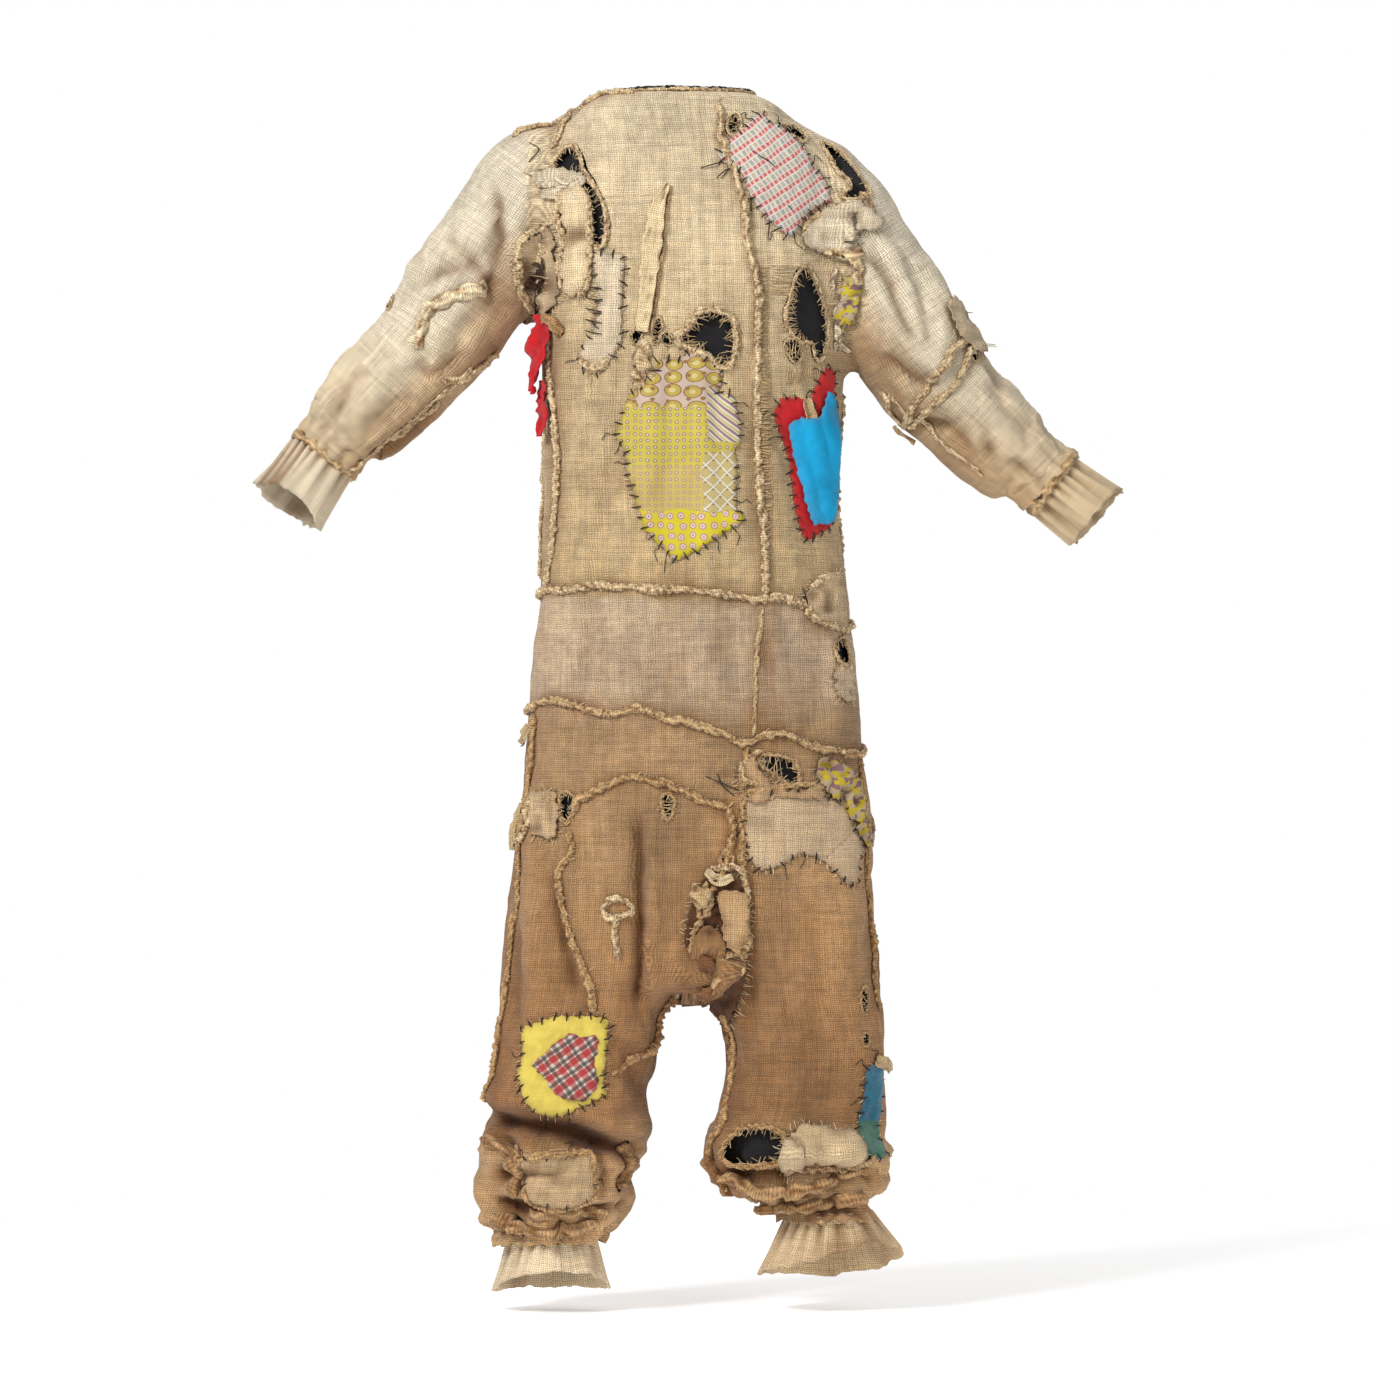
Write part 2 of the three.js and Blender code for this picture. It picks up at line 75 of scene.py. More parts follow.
# z, left edge, right edge, half depth in front, half depth behind
TORSO = [
    (0, -104, 78, 76, 74), (-14, -133, 104, 84, 88), (-30, -160, 138, 90, 103), (-45, -173, 166, 94, 111),
    (-110, -184, 188, 105, 111), (-200, -183, 188, 112, 111), (-290, -180, 185, 114, 111),
    (-480, -176, 177, 111, 111), (-583, -180, 187, 113, 111), (-650, -187, 195, 116, 114),
    (-752, -193, 206, 116, 116), (-790, -195, 207, 112, 112), (-813, -199, 210, 113, 113),
    (-850, -210, 214, 118, 118), (-900, -216, 219, 122, 122), (-990, -222, 225, 118, 118),
    (-1012, -221, 224, 108, 108), (-1030, -216, 219, 92, 92),
]
LEGS = {
    "right": [
        (-945, -218, -22, 110, 110), (-1012, -223, -24, 104, 104), (-1048, -227, -26, 94, 94),
        (-1113, -231, -47, 84, 84), (-1184, -238, -50, 84, 84), (-1231, -248, -47, 90, 88),
        (-1268, -246, -60, 84, 84), (-1302, -253, -71, 85, 83), (-1331, -245, -88, 72, 70),
        (-1346, -215, -112, 50, 50), (-1370, -213, -113, 50, 50),
    ],
    "left": [
        (-945, 26, 222, 110, 110), (-1012, 26, 224, 104, 104), (-1048, 26, 226, 94, 94),
        (-1113, 44, 230, 84, 84), (-1184, 40, 230, 84, 84), (-1224, 10, 231, 90, 88),
        (-1262, 36, 230, 82, 82), (-1300, 72, 216, 68, 68), (-1318, 114, 212, 50, 50),
        (-1342, 117, 212, 50, 50),
    ],
}
ANKLE_Z = {"right": -1349, "left": -1322}
ARMS = {
    "right": dict(side=-1, shoulder=(-191, -112), lean=34, upper=216, bend=8.3, fore=175, turn=-5, cuff=82),
    "left": dict(side=1, shoulder=(170, -142), lean=33, upper=228, bend=13.3, fore=179, turn=8, cuff=72),
}
NECK = dict(x=-12, y=-8, wide=84, deep=66)
ZIP_END_Z = -560
BACK_FROM_Y = 0.04  # in metres: the zip's surroundings are further back than this
SLEEVE_BOTTOM_Z = -620  # no sleeve reaches as low as this
LEGS_MEET_X = 4
WAIST_Z = -590
HIP_Z = -745
FRONT_SEAM_X = 84
LEGS_Z = -1000  # lower than this, a place on the front is on a leg


def smoothed_table(sections, reach):
    """Sections at every 2 mm of height, with the corners between them rounded over this reach."""
    rows = np.array(sections, float)
    rows = rows[np.argsort(rows[:, 0])]
    heights = np.arange(rows[0, 0], rows[-1, 0] + 1, 2.0)
    width = int(reach / 2)
    kernel = np.exp(-0.5 * (np.arange(-width, width + 1) / (width / 2)) ** 2)
    kernel /= kernel.sum()
    columns = [heights]
    for column in range(1, 5):
        values = np.interp(heights, rows[:, 0], rows[:, column])
        padded = np.pad(values, width, mode="reflect", reflect_type="odd")
        columns.append(np.convolve(padded, kernel, mode="valid"))
    return np.array(columns)


class BodyTube:
    """A tube about an upright axis, unrolled: s runs round it in millimetres from the middle of the front."""

    def __init__(self, sections, reach):
        self.table = smoothed_table(sections, reach)
        self.top = max(row[0] for row in sections)
        self.bottom = min(row[0] for row in sections)
        middle = self.table[:, self.table.shape[1] // 2]
        self.reference = (middle[2] - middle[1]) / 2
        depth = (middle[3] + middle[4]) / 2 / self.reference
        turns = np.linspace(-math.pi, math.pi, 721)
        x, y = self.rounded(turns)
        steps = np.hypot(np.diff(x), np.diff(y * depth))
        length = np.concatenate([[0], np.cumsum(steps)])
        self.turns = turns
        self.arcs = (length - length[360]) * self.reference

    @staticmethod
    def rounded(turn):
        """Unit superellipse: turn 0 is straight ahead, to -Y, and a quarter turn is +X."""
        power = 2 / BODY_POWER
        x = np.sign(np.sin(turn)) * np.abs(np.sin(turn)) ** power
        y = -np.sign(np.cos(turn)) * np.abs(np.cos(turn)) ** power
        return x, y

    def section(self, z):
        left, right, front, back = (np.interp(z, self.table[0], self.table[k]) for k in range(1, 5))
        return (left + right) / 2, (right - left) / 2, front, back

    def point(self, s, z):
        middle, wide, front, back = self.section(z)
        turn = np.interp(s * self.reference / wide, self.arcs, self.turns)
        x, y = self.rounded(turn)
        return middle + x * wide, MID_Y + y * np.where(y < 0, front, back), z

    def outward(self, s, z):
        ahead = np.array(self.point(s + 2, z))
        behind = np.array(self.point(s - 2, z))
        along = ahead - behind
        normal = Vector((along[1], -along[0], 0.0))
        return normal.normalized()

    def unrolled(self, co):
        """s and v of points in metres."""
        x, y, z = (co / MM).T
        middle, wide, front, back = self.section(np.clip(z, self.bottom, self.top))
        across = (x - middle) / wide
        depth = (y - MID_Y) / np.where(y < MID_Y, front, back)
        half = BODY_POWER / 2
        turn = np.arctan2(np.sign(across) * np.abs(across) ** half, -np.sign(depth) * np.abs(depth) ** half)
        return np.interp(turn, self.turns, self.arcs) * wide / self.reference, z

    def girth(self, v):
        _, wide, _, _ = self.section(v)
        return 2 * self.arcs[-1] * wide / self.reference

    def across(self, x, z):
        """s of the point of the front at x. Past FACING_SHARE of the half width, x goes on round the side."""
        middle, wide, _, _ = self.section(z)
        share = (x - middle) / wide
        kept = max(-FACING_SHARE, min(FACING_SHARE, share))
        turn = math.copysign(math.asin(abs(kept) ** (BODY_POWER / 2)), kept)
        s = float(np.interp(turn, self.turns, self.arcs)) * wide / self.reference
        return s + (share - kept) * wide

    def locate(self, x, z):
        """s and v of the front at x and z."""
        return self.across(x, z), z


def arm_frame(hand):
    """Shoulder, elbow and wrist, and the directions of the two halves of an arm, in X and Z."""
    arm = ARMS[hand]
    def toward(angle):
        return np.array([arm["side"] * math.sin(math.radians(angle)), -math.cos(math.radians(angle))])
    shoulder = np.array(arm["shoulder"], float)
    upper = toward(arm["lean"])
    elbow = shoulder + upper * arm["upper"]
    lower = toward(arm["lean"] + arm["bend"])
    wrist = elbow + lower * arm["fore"]
    cuff = toward(arm["lean"] + arm["bend"] + arm["turn"])
    return dict(shoulder=shoulder, elbow=elbow, wrist=wrist, upper=upper, lower=lower, cuff=cuff)


BODY = BodyTube(TORSO, 40)
LEG = {hand: BodyTube(LEGS[hand], 30) for hand in LEGS}
ARM = {hand: arm_frame(hand) for hand in ARMS}


def spot3(point, y=MID_Y):
    """An X and Z pair in millimetres as a point in metres."""
    return Vector((point[0] * MM, y * MM, point[1] * MM))


# ---- Mesh helpers ----
@contextlib.contextmanager
def edited(mesh):
    """The mesh as a bmesh, which is written back at the end."""
    bm = bmesh.new()
    bm.from_mesh(mesh)
    yield bm
    bm.to_mesh(mesh)
    bm.free()
    mesh.update()


def new_object(name, vertices, faces):
    mesh = bpy.data.meshes.new(name)
    mesh.from_pydata([tuple(v) for v in vertices], [], [tuple(f) for f in faces])
    mesh.update()
    made = bpy.data.objects.new(name, mesh)
    SCENE.collection.objects.link(made)
    return made


def coordinates(mesh):
    co = np.zeros(len(mesh.vertices) * 3)
    mesh.vertices.foreach_get("co", co)
    return co.reshape(-1, 3)


def set_coordinates(mesh, co):
    mesh.vertices.foreach_set("co", np.asarray(co, np.float32).ravel())
    mesh.update()


def vertex_normals(mesh):
    normals = np.zeros(len(mesh.vertices) * 3, np.float32)
    mesh.vertices.foreach_get("normal", normals)
    return normals.reshape(-1, 3).astype(float)


def edge_pairs(mesh):
    pairs = np.zeros(len(mesh.edges) * 2, np.int32)
    mesh.edges.foreach_get("vertices", pairs)
    return pairs.reshape(-1, 2)


def face_centres(mesh):
    centres = np.zeros(len(mesh.polygons) * 3, np.float32)
    mesh.polygons.foreach_get("center", centres)
    return centres.reshape(-1, 3).astype(float)


def shade_smooth(mesh, smooth_faces=True):
    mesh.polygons.foreach_set("use_smooth", [smooth_faces] * len(mesh.polygons))


def relax(co, pairs, rounds, share=0.5, held=None):
    """Moves each vertex part of the way to the middle of its neighbours, this many times."""
    count = np.bincount(pairs.ravel(), minlength=len(co))[:, None].clip(1)
    for _ in range(rounds):
        total = np.zeros_like(co)
        np.add.at(total, pairs[:, 0], co[pairs[:, 1]])
        np.add.at(total, pairs[:, 1], co[pairs[:, 0]])
        moved = co + share * (total / count - co)
        if held is not None:
            moved[held] = co[held]
        co = moved
    return co


def apply_modifiers(made):
    shown = made.evaluated_get(bpy.context.evaluated_depsgraph_get())
    mesh = bpy.data.meshes.new_from_object(shown)
    made.modifiers.clear()
    made.data = mesh
    return made


def remove(made):
    bpy.data.objects.remove(made, do_unlink=True)


def capped_skin(rings):
    """A closed tube through rings of points, which all have the same count."""
    count = len(rings[0])
    vertices = [p for loop in rings for p in loop]
    vertices += [np.mean(rings[0], axis=0), np.mean(rings[-1], axis=0)]
    faces = []
    for k in range(len(rings) - 1):
        for i in range(count):
            j = (i + 1) % count
            faces.append((k * count + i, k * count + j, (k + 1) * count + j, (k + 1) * count + i))
    low, high = len(vertices) - 2, len(vertices) - 1
    last = (len(rings) - 1) * count
    for i in range(count):
        j = (i + 1) % count
        faces.append((low, j, i))
        faces.append((high, last + i, last + j))
    return vertices, faces


RING_GAP = 14  # between one ring of a form and the next
LEG_SIDES = 40
ARM_SIDES = 28


def body_rings(tube, low, high, count=56):
    turns = np.linspace(-math.pi, math.pi, count, endpoint=False)
    x, y = tube.rounded(turns)
    rings = []
    for z in np.linspace(low, high, max(2, int((high - low) / RING_GAP))):
        middle, wide, front, back = tube.section(z)
        ys = MID_Y + y * np.where(y < 0, front, back)
        rings.append(np.stack([middle + x * wide, ys, np.full(count, z)], axis=1) * MM)
    return rings


def arm_rings(start, direction, radii):
    """Rings about an arm's axis; radii is a list of (distance along it, radius)."""
    side = np.array([direction[1], -direction[0]])
    turns = np.linspace(0, 2 * math.pi, ARM_SIDES, endpoint=False)
    rings = []
    for along, radius in radii:
        centre = start + direction * along
        xz = centre + np.outer(np.cos(turns), side) * radius
        rings.append(np.stack([xz[:, 0], MID_Y + np.sin(turns) * radius, xz[:, 1]], axis=1) * MM)
    return rings


SHOULDER_CAPS = [(-185, -88, 60), (152, -108, 62)]  # x, z and radius of the fullness over each sleeve head
# Along each half of a sleeve and its radius there, for a forearm 175 long
SLEEVE_UPPER = [(-40, 55), (-30, 68), (0, 75), (60, 72), (140, 68), (216, 66), (228, 60)]
SLEEVE_LOWER = [(-40, 48), (-25, 57), (0, 62), (60, 60), (115, 58), (150, 52), (170, 42), (175, 40),
                (196, 40)]
LEG_TOP_Z = -950
CROTCH = [  # z, half width and half depth of the fullness between the legs
    (-1046, 14, 30), (-1040, 34, 66), (-1020, 52, 92), (-985, 70, 104), (LEG_TOP_Z, 80, 108),
]
VOXEL = 0.0075  # in metres, the size of the garment's first faces


def filled_form():
    """The garment's outside as one closed volume: body, legs, crotch and sleeves joined."""
    vertices, faces = [], []

    def join(part):
        offset = len(vertices)
        vertices.extend(part[0])
        faces.extend([tuple(i + offset for i in face) for face in part[1]])

    join(capped_skin(body_rings(BODY, BODY.bottom, 0)))
    for tube in LEG.values():
        join(capped_skin(body_rings(tube, tube.bottom, LEG_TOP_Z, LEG_SIDES)))
    turns = np.linspace(0, 2 * math.pi, LEG_SIDES, endpoint=False)
    join(capped_skin([
        np.stack([LEGS_MEET_X + np.cos(turns) * wide, MID_Y + np.sin(turns) * deep, turns * 0 + z],
                 axis=1) * MM
        for z, wide, deep in CROTCH
    ]))
    for x, z, radius in SHOULDER_CAPS:
        spread = [math.radians(angle) for angle in range(-80, 81, 16)]
        profile = [(radius * math.sin(angle), radius * math.cos(angle)) for angle in spread]
        join(capped_skin(arm_rings(np.array([x, z]), np.array([0.0, 1.0]), profile)))
    for hand, arm in ARM.items():
        join(capped_skin(arm_rings(arm["shoulder"], arm["upper"], SLEEVE_UPPER)))
        slim = 0.95 if hand == "left" else 1.0
        longer = ARMS[hand]["fore"] - 175
        lower = [
            (along + max(0, along - 100) / 75 * longer, radius * (slim if 20 < along < 165 else 1))
            for along, radius in SLEEVE_LOWER
        ]
        join(capped_skin(arm_rings(arm["elbow"], arm["lower"], lower)))
    made = new_object("form", vertices, faces)
    with edited(made.data) as bm:
        bmesh.ops.recalc_face_normals(bm, faces=bm.faces)
    remesh = made.modifiers.new("Remesh", "REMESH")
    remesh.mode = "VOXEL"
    remesh.voxel_size = VOXEL
    apply_modifiers(made)
    co = relax(coordinates(made.data), edge_pairs(made.data), 8)
    set_coordinates(made.data, co)
    return made


NECK_REACH = -0.03  # in metres: the neck's edge is higher than this


def opened(form):
    """Cuts the form's volume open at the neck, the wrists and the ankles."""
    with edited(form.data) as bm:
        def cut(point, normal, near):
            """Cuts off what is beyond a plane, for the faces that near() picks."""
            picked = [face for face in bm.faces if near(face.calc_center_median())]
            around = set(picked)
            around |= {edge for face in picked for edge in face.edges}
            around |= {vertex for face in picked for vertex in face.verts}
            bmesh.ops.bisect_plane(bm, geom=list(around), plane_co=point, plane_no=normal)
            doomed = [f for f in bm.faces
                      if near(f.calc_center_median()) and (f.calc_center_median() - point).dot(normal) > 1e-5]
            bmesh.ops.delete(bm, geom=doomed, context="FACES")

        for arm in ARM.values():
            point = spot3(arm["wrist"])
            normal = Vector((arm["lower"][0], 0, arm["lower"][1]))
            cut(point, normal, lambda c, p=point: (c - p).length < 0.09)
        for hand, z in ANKLE_Z.items():
            side = -1 if hand == "right" else 1
            point = Vector((0, 0, z * MM))
            cut(point, Vector((0, 0, -1)), lambda c, s=side, z=z: s * c.x > 0 and c.z < (z + 30) * MM)
        centre = Vector((NECK["x"] * MM, NECK["y"] * MM, 0))

        wide, deep = NECK["wide"] * MM, NECK["deep"] * MM

        def in_neck(c):
            return c.z > NECK_REACH and ((c.x - centre.x) / wide) ** 2 + ((c.y - centre.y) / deep) ** 2 < 1

        doomed = [f for f in bm.faces if in_neck(f.calc_center_median())]
        bmesh.ops.delete(bm, geom=doomed, context="FACES")
        for vertex in bm.verts:
            if vertex.is_boundary and vertex.co.z > NECK_REACH:
                away = vertex.co - centre
                scale = math.hypot(away.x / wide, away.y / deep)
                vertex.co.x = centre.x + away.x / scale
                vertex.co.y = centre.y + away.y / scale
                vertex.co.z = -0.0015
        loose = [v for v in bm.verts if not v.link_faces]
        bmesh.ops.delete(bm, geom=loose, context="VERTS")
    return form


def along_arm(co, hand):
    """For points in metres: distance along the upper and lower halves of an arm, and from its axis, in mm."""
    arm = ARM[hand]
    xz = co[:, [0, 2]] / MM
    y = co[:, 1] / MM - MID_Y
    found = {}
    for part, start in (("upper", "shoulder"), ("lower", "elbow")):
        away = xz - arm[start]
        found[part] = away @ arm[part]
        side = away @ np.array([arm[part][1], -arm[part][0]])
        found[part + "_off"] = np.hypot(side, y)
        found[part + "_side"] = side
    return found


FRAMES = 26
SPARE_BELOW = [(-700, 0.25), (-880, 0.45), (-1040, 1)]  # height, and how much spare cloth is below it
SLEEVE_SPARE = 0.55
FURTHEST = 0.016  # in metres, how far the cloth may settle


def settled(cloth_object):
    """The garment's cloth, a little larger than its form, settles on a form inside it by its own weight."""
    mesh = cloth_object.data
    co = coordinates(mesh)
    normals = vertex_normals(mesh)
    inner = cloth_object.copy()
    inner.data = mesh.copy()
    SCENE.collection.objects.link(inner)
    set_coordinates(inner.data, relax(co - normals * 0.010, edge_pairs(mesh), 6))
    inner.modifiers.new("Collision", "COLLISION")
    inner.collision.thickness_outer = 0.002

    x, y, z = (co / MM).T
    held = np.zeros(len(co))
    spare = np.zeros(len(co))
    held[z > -12] = 1
    held[(np.abs(x) < 10) & (y > 60) & (z > ZIP_END_Z)] = 1
    for height, amount in SPARE_BELOW:
        spare[z < height] = amount
    for hand in ARM:
        where = along_arm(co, hand)
        beyond = np.abs(x) > 200
        own = beyond & (np.sign(x) == ARMS[hand]["side"]) & (z > SLEEVE_BOTTOM_Z)
        spare[own] = SLEEVE_SPARE
        held[own & (where["lower"] > ARMS[hand]["fore"] - 8)] = 1
    for hand, end in ANKLE_Z.items():
        own = (np.sign(x) == (-1 if hand == "right" else 1)) & (z < end + 8)
        held[own] = 1
    for name, values in (("held", held), ("spare", spare)):
        group = cloth_object.vertex_groups.new(name=name)
        for weight in np.unique(values):
            group.add(np.nonzero(values == weight)[0].tolist(), float(weight), "REPLACE")

    cloth = cloth_object.modifiers.new("Cloth", "CLOTH")
    made = cloth.settings
    made.quality = 6
    made.mass = 0.15
    made.tension_stiffness = 40
    made.compression_stiffness = 40
    made.shear_stiffness = 12
    made.bending_stiffness = 0.6
    made.vertex_group_mass = "held"
    made.vertex_group_shrink = "spare"
    made.shrink_min = -0.035
    made.shrink_max = -0.17
    made.use_pressure = True
    made.uniform_pressure_force = 0.6
    cloth.collision_settings.distance_min = 0.002
    cloth.collision_settings.use_self_collision = False
    cloth.point_cache.frame_start = 1
    cloth.point_cache.frame_end = FRAMES
    for number in range(1, FRAMES + 1):
        SCENE.frame_set(number)
    shown = cloth_object.evaluated_get(bpy.context.evaluated_depsgraph_get())
    after = coordinates(shown.data)
    cloth_object.modifiers.clear()
    cloth_object.vertex_groups.clear()
    remove(inner)
    SCENE.frame_set(1)
    moved = after - co
    length = np.linalg.norm(moved, axis=1, keepdims=True)
    set_coordinates(mesh, co + moved * np.minimum(1, FURTHEST / np.maximum(length, 1e-9)))


# ---- Places on the garment ----
class ArmTube:
    """A sleeve, unrolled: s runs round it in millimetres from its front, and v along it from the shoulder."""

    def __init__(self, hand):
        self.hand = hand
        self.arm = ARM[hand]
        self.elbow_at = ARMS[hand]["upper"]
        self.radius = 64

    def half(self, v):
        """Centre and direction of the arm at v, and the direction across it, in X and Z."""
        part = "upper" if v < self.elbow_at else "lower"
        start, along = ("shoulder", v) if part == "upper" else ("elbow", v - self.elbow_at)
        direction = self.arm[part]
        return self.arm[start] + direction * along, np.array([direction[1], -direction[0]])

    def point(self, s, v):
        centre, side = self.half(v)
        angle = s / self.radius
        x, z = centre + side * math.sin(angle) * self.radius
        return x, MID_Y - math.cos(angle) * self.radius, z

    def outward(self, s, v):
        _, side = self.half(v)
        angle = s / self.radius
        return Vector((side[0] * math.sin(angle), -math.cos(angle), side[1] * math.sin(angle)))

    def locate(self, x, z):
        """s and v of the front of the sleeve at x and z."""
        away = np.array([x, z]) - self.arm["shoulder"]
        v = away @ self.arm["upper"]
        if v > self.elbow_at:
            away = np.array([x, z]) - self.arm["elbow"]
            v = self.elbow_at + away @ self.arm["lower"]
        _, side = self.half(v)
        share = away @ side / self.radius
        kept = max(-FACING_SHARE, min(FACING_SHARE, share))
        return (math.asin(kept) + share - kept) * self.radius, v

    def unrolled(self, co):
        """s and v of points in metres."""
        where = along_arm(co, self.hand)
        beyond = where["upper"] > self.elbow_at
        side = np.where(beyond, where["lower_side"], where["upper_side"])
        s = np.arctan2(side, MID_Y - co[:, 1] / MM) * self.radius
        return s, np.where(beyond, self.elbow_at + where["lower"], where["upper"])

    def girth(self, v):
        return np.full(np.shape(v), 2 * math.pi * self.radius)


SLEEVE = {hand: ArmTube(hand) for hand in ARMS}


def tube_of(zone):
    kind, _, hand = zone.partition("_")
    if kind == "body":
        return BODY
    return LEG[hand] if kind == "leg" else SLEEVE[hand]


# ---- Noise, curves and outlines ----
CELLS = 64  # on each side of the noise's lattice
LATTICE = np.random.RandomState(5).uniform(-1, 1, (CELLS, CELLS, CELLS))


def noise_at(points, scale, seed=0):
    """Smooth noise from -1 to 1 at each row of points, with lumps about this far apart."""
    p = np.asarray(points, float) / scale + seed * 11.37
    cell = np.floor(p).astype(int)
    f = p - cell
    f = f * f * (3 - 2 * f)
    total = np.zeros(len(p))
    for corner in itertools.product((0, 1), repeat=3):
        weight = np.prod(np.where(corner, f, 1 - f), axis=1)
        i, j, k = ((cell + corner) % CELLS).T
        total += weight * LATTICE[i, j, k]
    return total


def smooth(value):
    value = np.clip(value, 0, 1)
    return value * value * (3 - 2 * value)


def curve_through(points, step, closed=False):
    """Points this far apart along a smooth curve through these."""
    points = np.array(points, float)
    if closed:
        ends = np.vstack([points[-1], points, points[0], points[1]])
    else:
        ends = np.vstack([2 * points[0] - points[1], points, 2 * points[-1] - points[-2]])
    dense = []
    for k in range(len(ends) - 3):
        before, a, b, after = ends[k:k + 4]
        for t in np.linspace(0, 1, 10, endpoint=False):
            bend = (2 * before - 5 * a + 4 * b - after) * t * t + (-before + 3 * a - 3 * b + after) * t ** 3
            dense.append(0.5 * (2 * a + (b - before) * t + bend))
    dense.append(points[0] if closed else points[-1])
    dense = np.array(dense)
    length = np.concatenate([[0], np.cumsum(np.linalg.norm(np.diff(dense, axis=0), axis=1))])
    count = max(2, round(length[-1] / step)) + 1
    at = np.linspace(0, length[-1], count)
    found = np.stack([np.interp(at, length, dense[:, k]) for k in range(dense.shape[1])], axis=1)
    return found[:-1] if closed else found


def from_line(points, x, z):
    """Distance of each x and z from a line, positive on its left, how far along it that is, and its length."""
    line = curve_through(points, 8)
    best = np.full(len(x), 1e9)
    signed = np.full(len(x), 1e9)
    along = np.zeros(len(x))
    walked = 0.0
    for a, b in zip(line[:-1], line[1:]):
        step = b - a
        length = np.linalg.norm(step)
        share = np.clip(((x - a[0]) * step[0] + (z - a[1]) * step[1]) / length ** 2, 0, 1)
        dx, dz = x - a[0] - share * step[0], z - a[1] - share * step[1]
        away = np.hypot(dx, dz)
        nearer = away < best
        best = np.where(nearer, away, best)
        signed = np.where(nearer, np.copysign(away, step[0] * dz - step[1] * dx), signed)
        along = np.where(nearer, walked + share * length, along)
        walked += length
    return signed, along, walked


def inside(outline, x, z):
    """Which points lie in a closed outline."""
    found = np.zeros(len(x), bool)
    previous = outline[-1]
    for corner in outline:
        crosses = (corner[1] > z) != (previous[1] > z)
        with np.errstate(divide="ignore", invalid="ignore"):
            at = (previous[0] - corner[0]) * (z - corner[1]) / (previous[1] - corner[1]) + corner[0]
        found ^= crosses & (x < at)
        previous = corner
    return found


def closest_on(outline, p):
    """The nearest point of a closed outline, and its distance."""
    a = np.array(outline, float)
    b = np.roll(a, -1, axis=0)
    step = b - a
    share = np.clip(((p - a) * step).sum(axis=1) / (step ** 2).sum(axis=1).clip(1e-9), 0, 1)
    spots = a + step * share[:, None]
    away = np.linalg.norm(spots - p, axis=1)
    k = int(np.argmin(away))
    return spots[k], float(away[k])


# ---- Which bodies the cloth follows ----
SLEEVE_FROM = 190  # where the span from the torso to a sleeve starts, out from the middle
SLEEVE_TO = {"right": 236, "left": 219}  # where the cloth follows the sleeve alone
ELBOW_BEFORE, ELBOW_AFTER = 15, 45  # how far before and after the elbow's pivot the span between the two sleeve bodies reaches
SLEEVE_REACH = 95  # from a sleeve's axis to the furthest cloth that is still sleeve


def mean_direction(hand):
    total = ARM[hand]["upper"] + ARM[hand]["lower"]
    return total / np.linalg.norm(total)


def spans():
    """For each zone: the two bodies that its cloth follows, where the first ends and the second starts."""
    found = {"body": ("torso", "hips", (0, -735), (0, -840))}
    for hand, arm in ARMS.items():
        side = arm["side"]
        along = mean_direction(hand)
        elbow = ARM[hand]["elbow"]
        found[f"sleeve_{hand}"] = ("torso", f"upper_sleeve_{hand[0]}", (side * SLEEVE_FROM, 0),
                                    (side * SLEEVE_TO[hand], 0))
        found[f"forearm_{hand}"] = (f"upper_sleeve_{hand[0]}", f"lower_sleeve_{hand[0]}",
                                     elbow - along * ELBOW_BEFORE, elbow + along * ELBOW_AFTER)
        found[f"leg_{hand}"] = ("hips", f"leg_{hand[0]}", (side * 40, -1000), (side * 120, -1095))
    return found


SPANS = spans()


def share_along(zone, x, z):
    """0 where the zone's first body ends, 1 where its second starts."""
    _, _, start, end = SPANS[zone]
    step = np.array(end, float) - np.array(start, float)
    return ((x - start[0]) * step[0] + (z - start[1]) * step[1]) / (step @ step)


def zones_of(co):
    """The zone of each point, in metres, as an index into SPANS."""
    names = list(SPANS)
    x, z = co[:, 0] / MM, co[:, 2] / MM
    zone = np.zeros(len(co), int)
    for hand, arm in ARMS.items():
        own = arm["side"] * (x - LEGS_MEET_X) > 0
        leg = own & (share_along(f"leg_{hand}", x, z) > -0.02) & (z < -840)
        zone[leg] = names.index(f"leg_{hand}")
        where = along_arm(co, hand)
        near = np.minimum(where["upper_off"], where["lower_off"]) < SLEEVE_REACH
        sleeve = near & (arm["side"] * x > SLEEVE_FROM) & (z > SLEEVE_BOTTOM_Z)
        zone[sleeve] = names.index(f"sleeve_{hand}")
        beyond = share_along(f"forearm_{hand}", x, z) * (ELBOW_BEFORE + ELBOW_AFTER) > -8
        zone[sleeve & beyond] = names.index(f"forearm_{hand}")
    return zone


def attach(piece, zone):
    """Parents a piece that lies in one zone to that zone's first or second body, if it lies wholly on one side
    of the span; otherwise it stays in place.
    """
    first, second, start, end = SPANS[zone]
    co = coordinates(piece.data)
    share = share_along(zone, co[:, 0] / MM, co[:, 2] / MM)
    if share.max() <= 0:
        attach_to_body(piece, first)
    elif share.min() >= 1:
        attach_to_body(piece, second)
    else:
        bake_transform(piece)


def flat_cut(mesh):
    """Width, length and area of the cloth a piece was cut from, in metres, from its weave coordinates."""
    uv = np.zeros(len(mesh.loops) * 2, np.float32)
    mesh.uv_layers["weave"].data.foreach_get("uv", uv)
    uv = uv.reshape(-1, 2).astype(float)
    mesh.calc_loop_triangles()
    loops = np.zeros(len(mesh.loop_triangles) * 3, np.int32)
    mesh.loop_triangles.foreach_get("loops", loops)
    a, b, c = (uv[loops.reshape(-1, 3)[:, k]] for k in range(3))
    area = np.abs((b - a)[:, 0] * (c - a)[:, 1] - (b - a)[:, 1] * (c - a)[:, 0]).sum() / 2
    width, length = uv.max(axis=0) - uv.min(axis=0)
    return float(width), float(length), float(area)


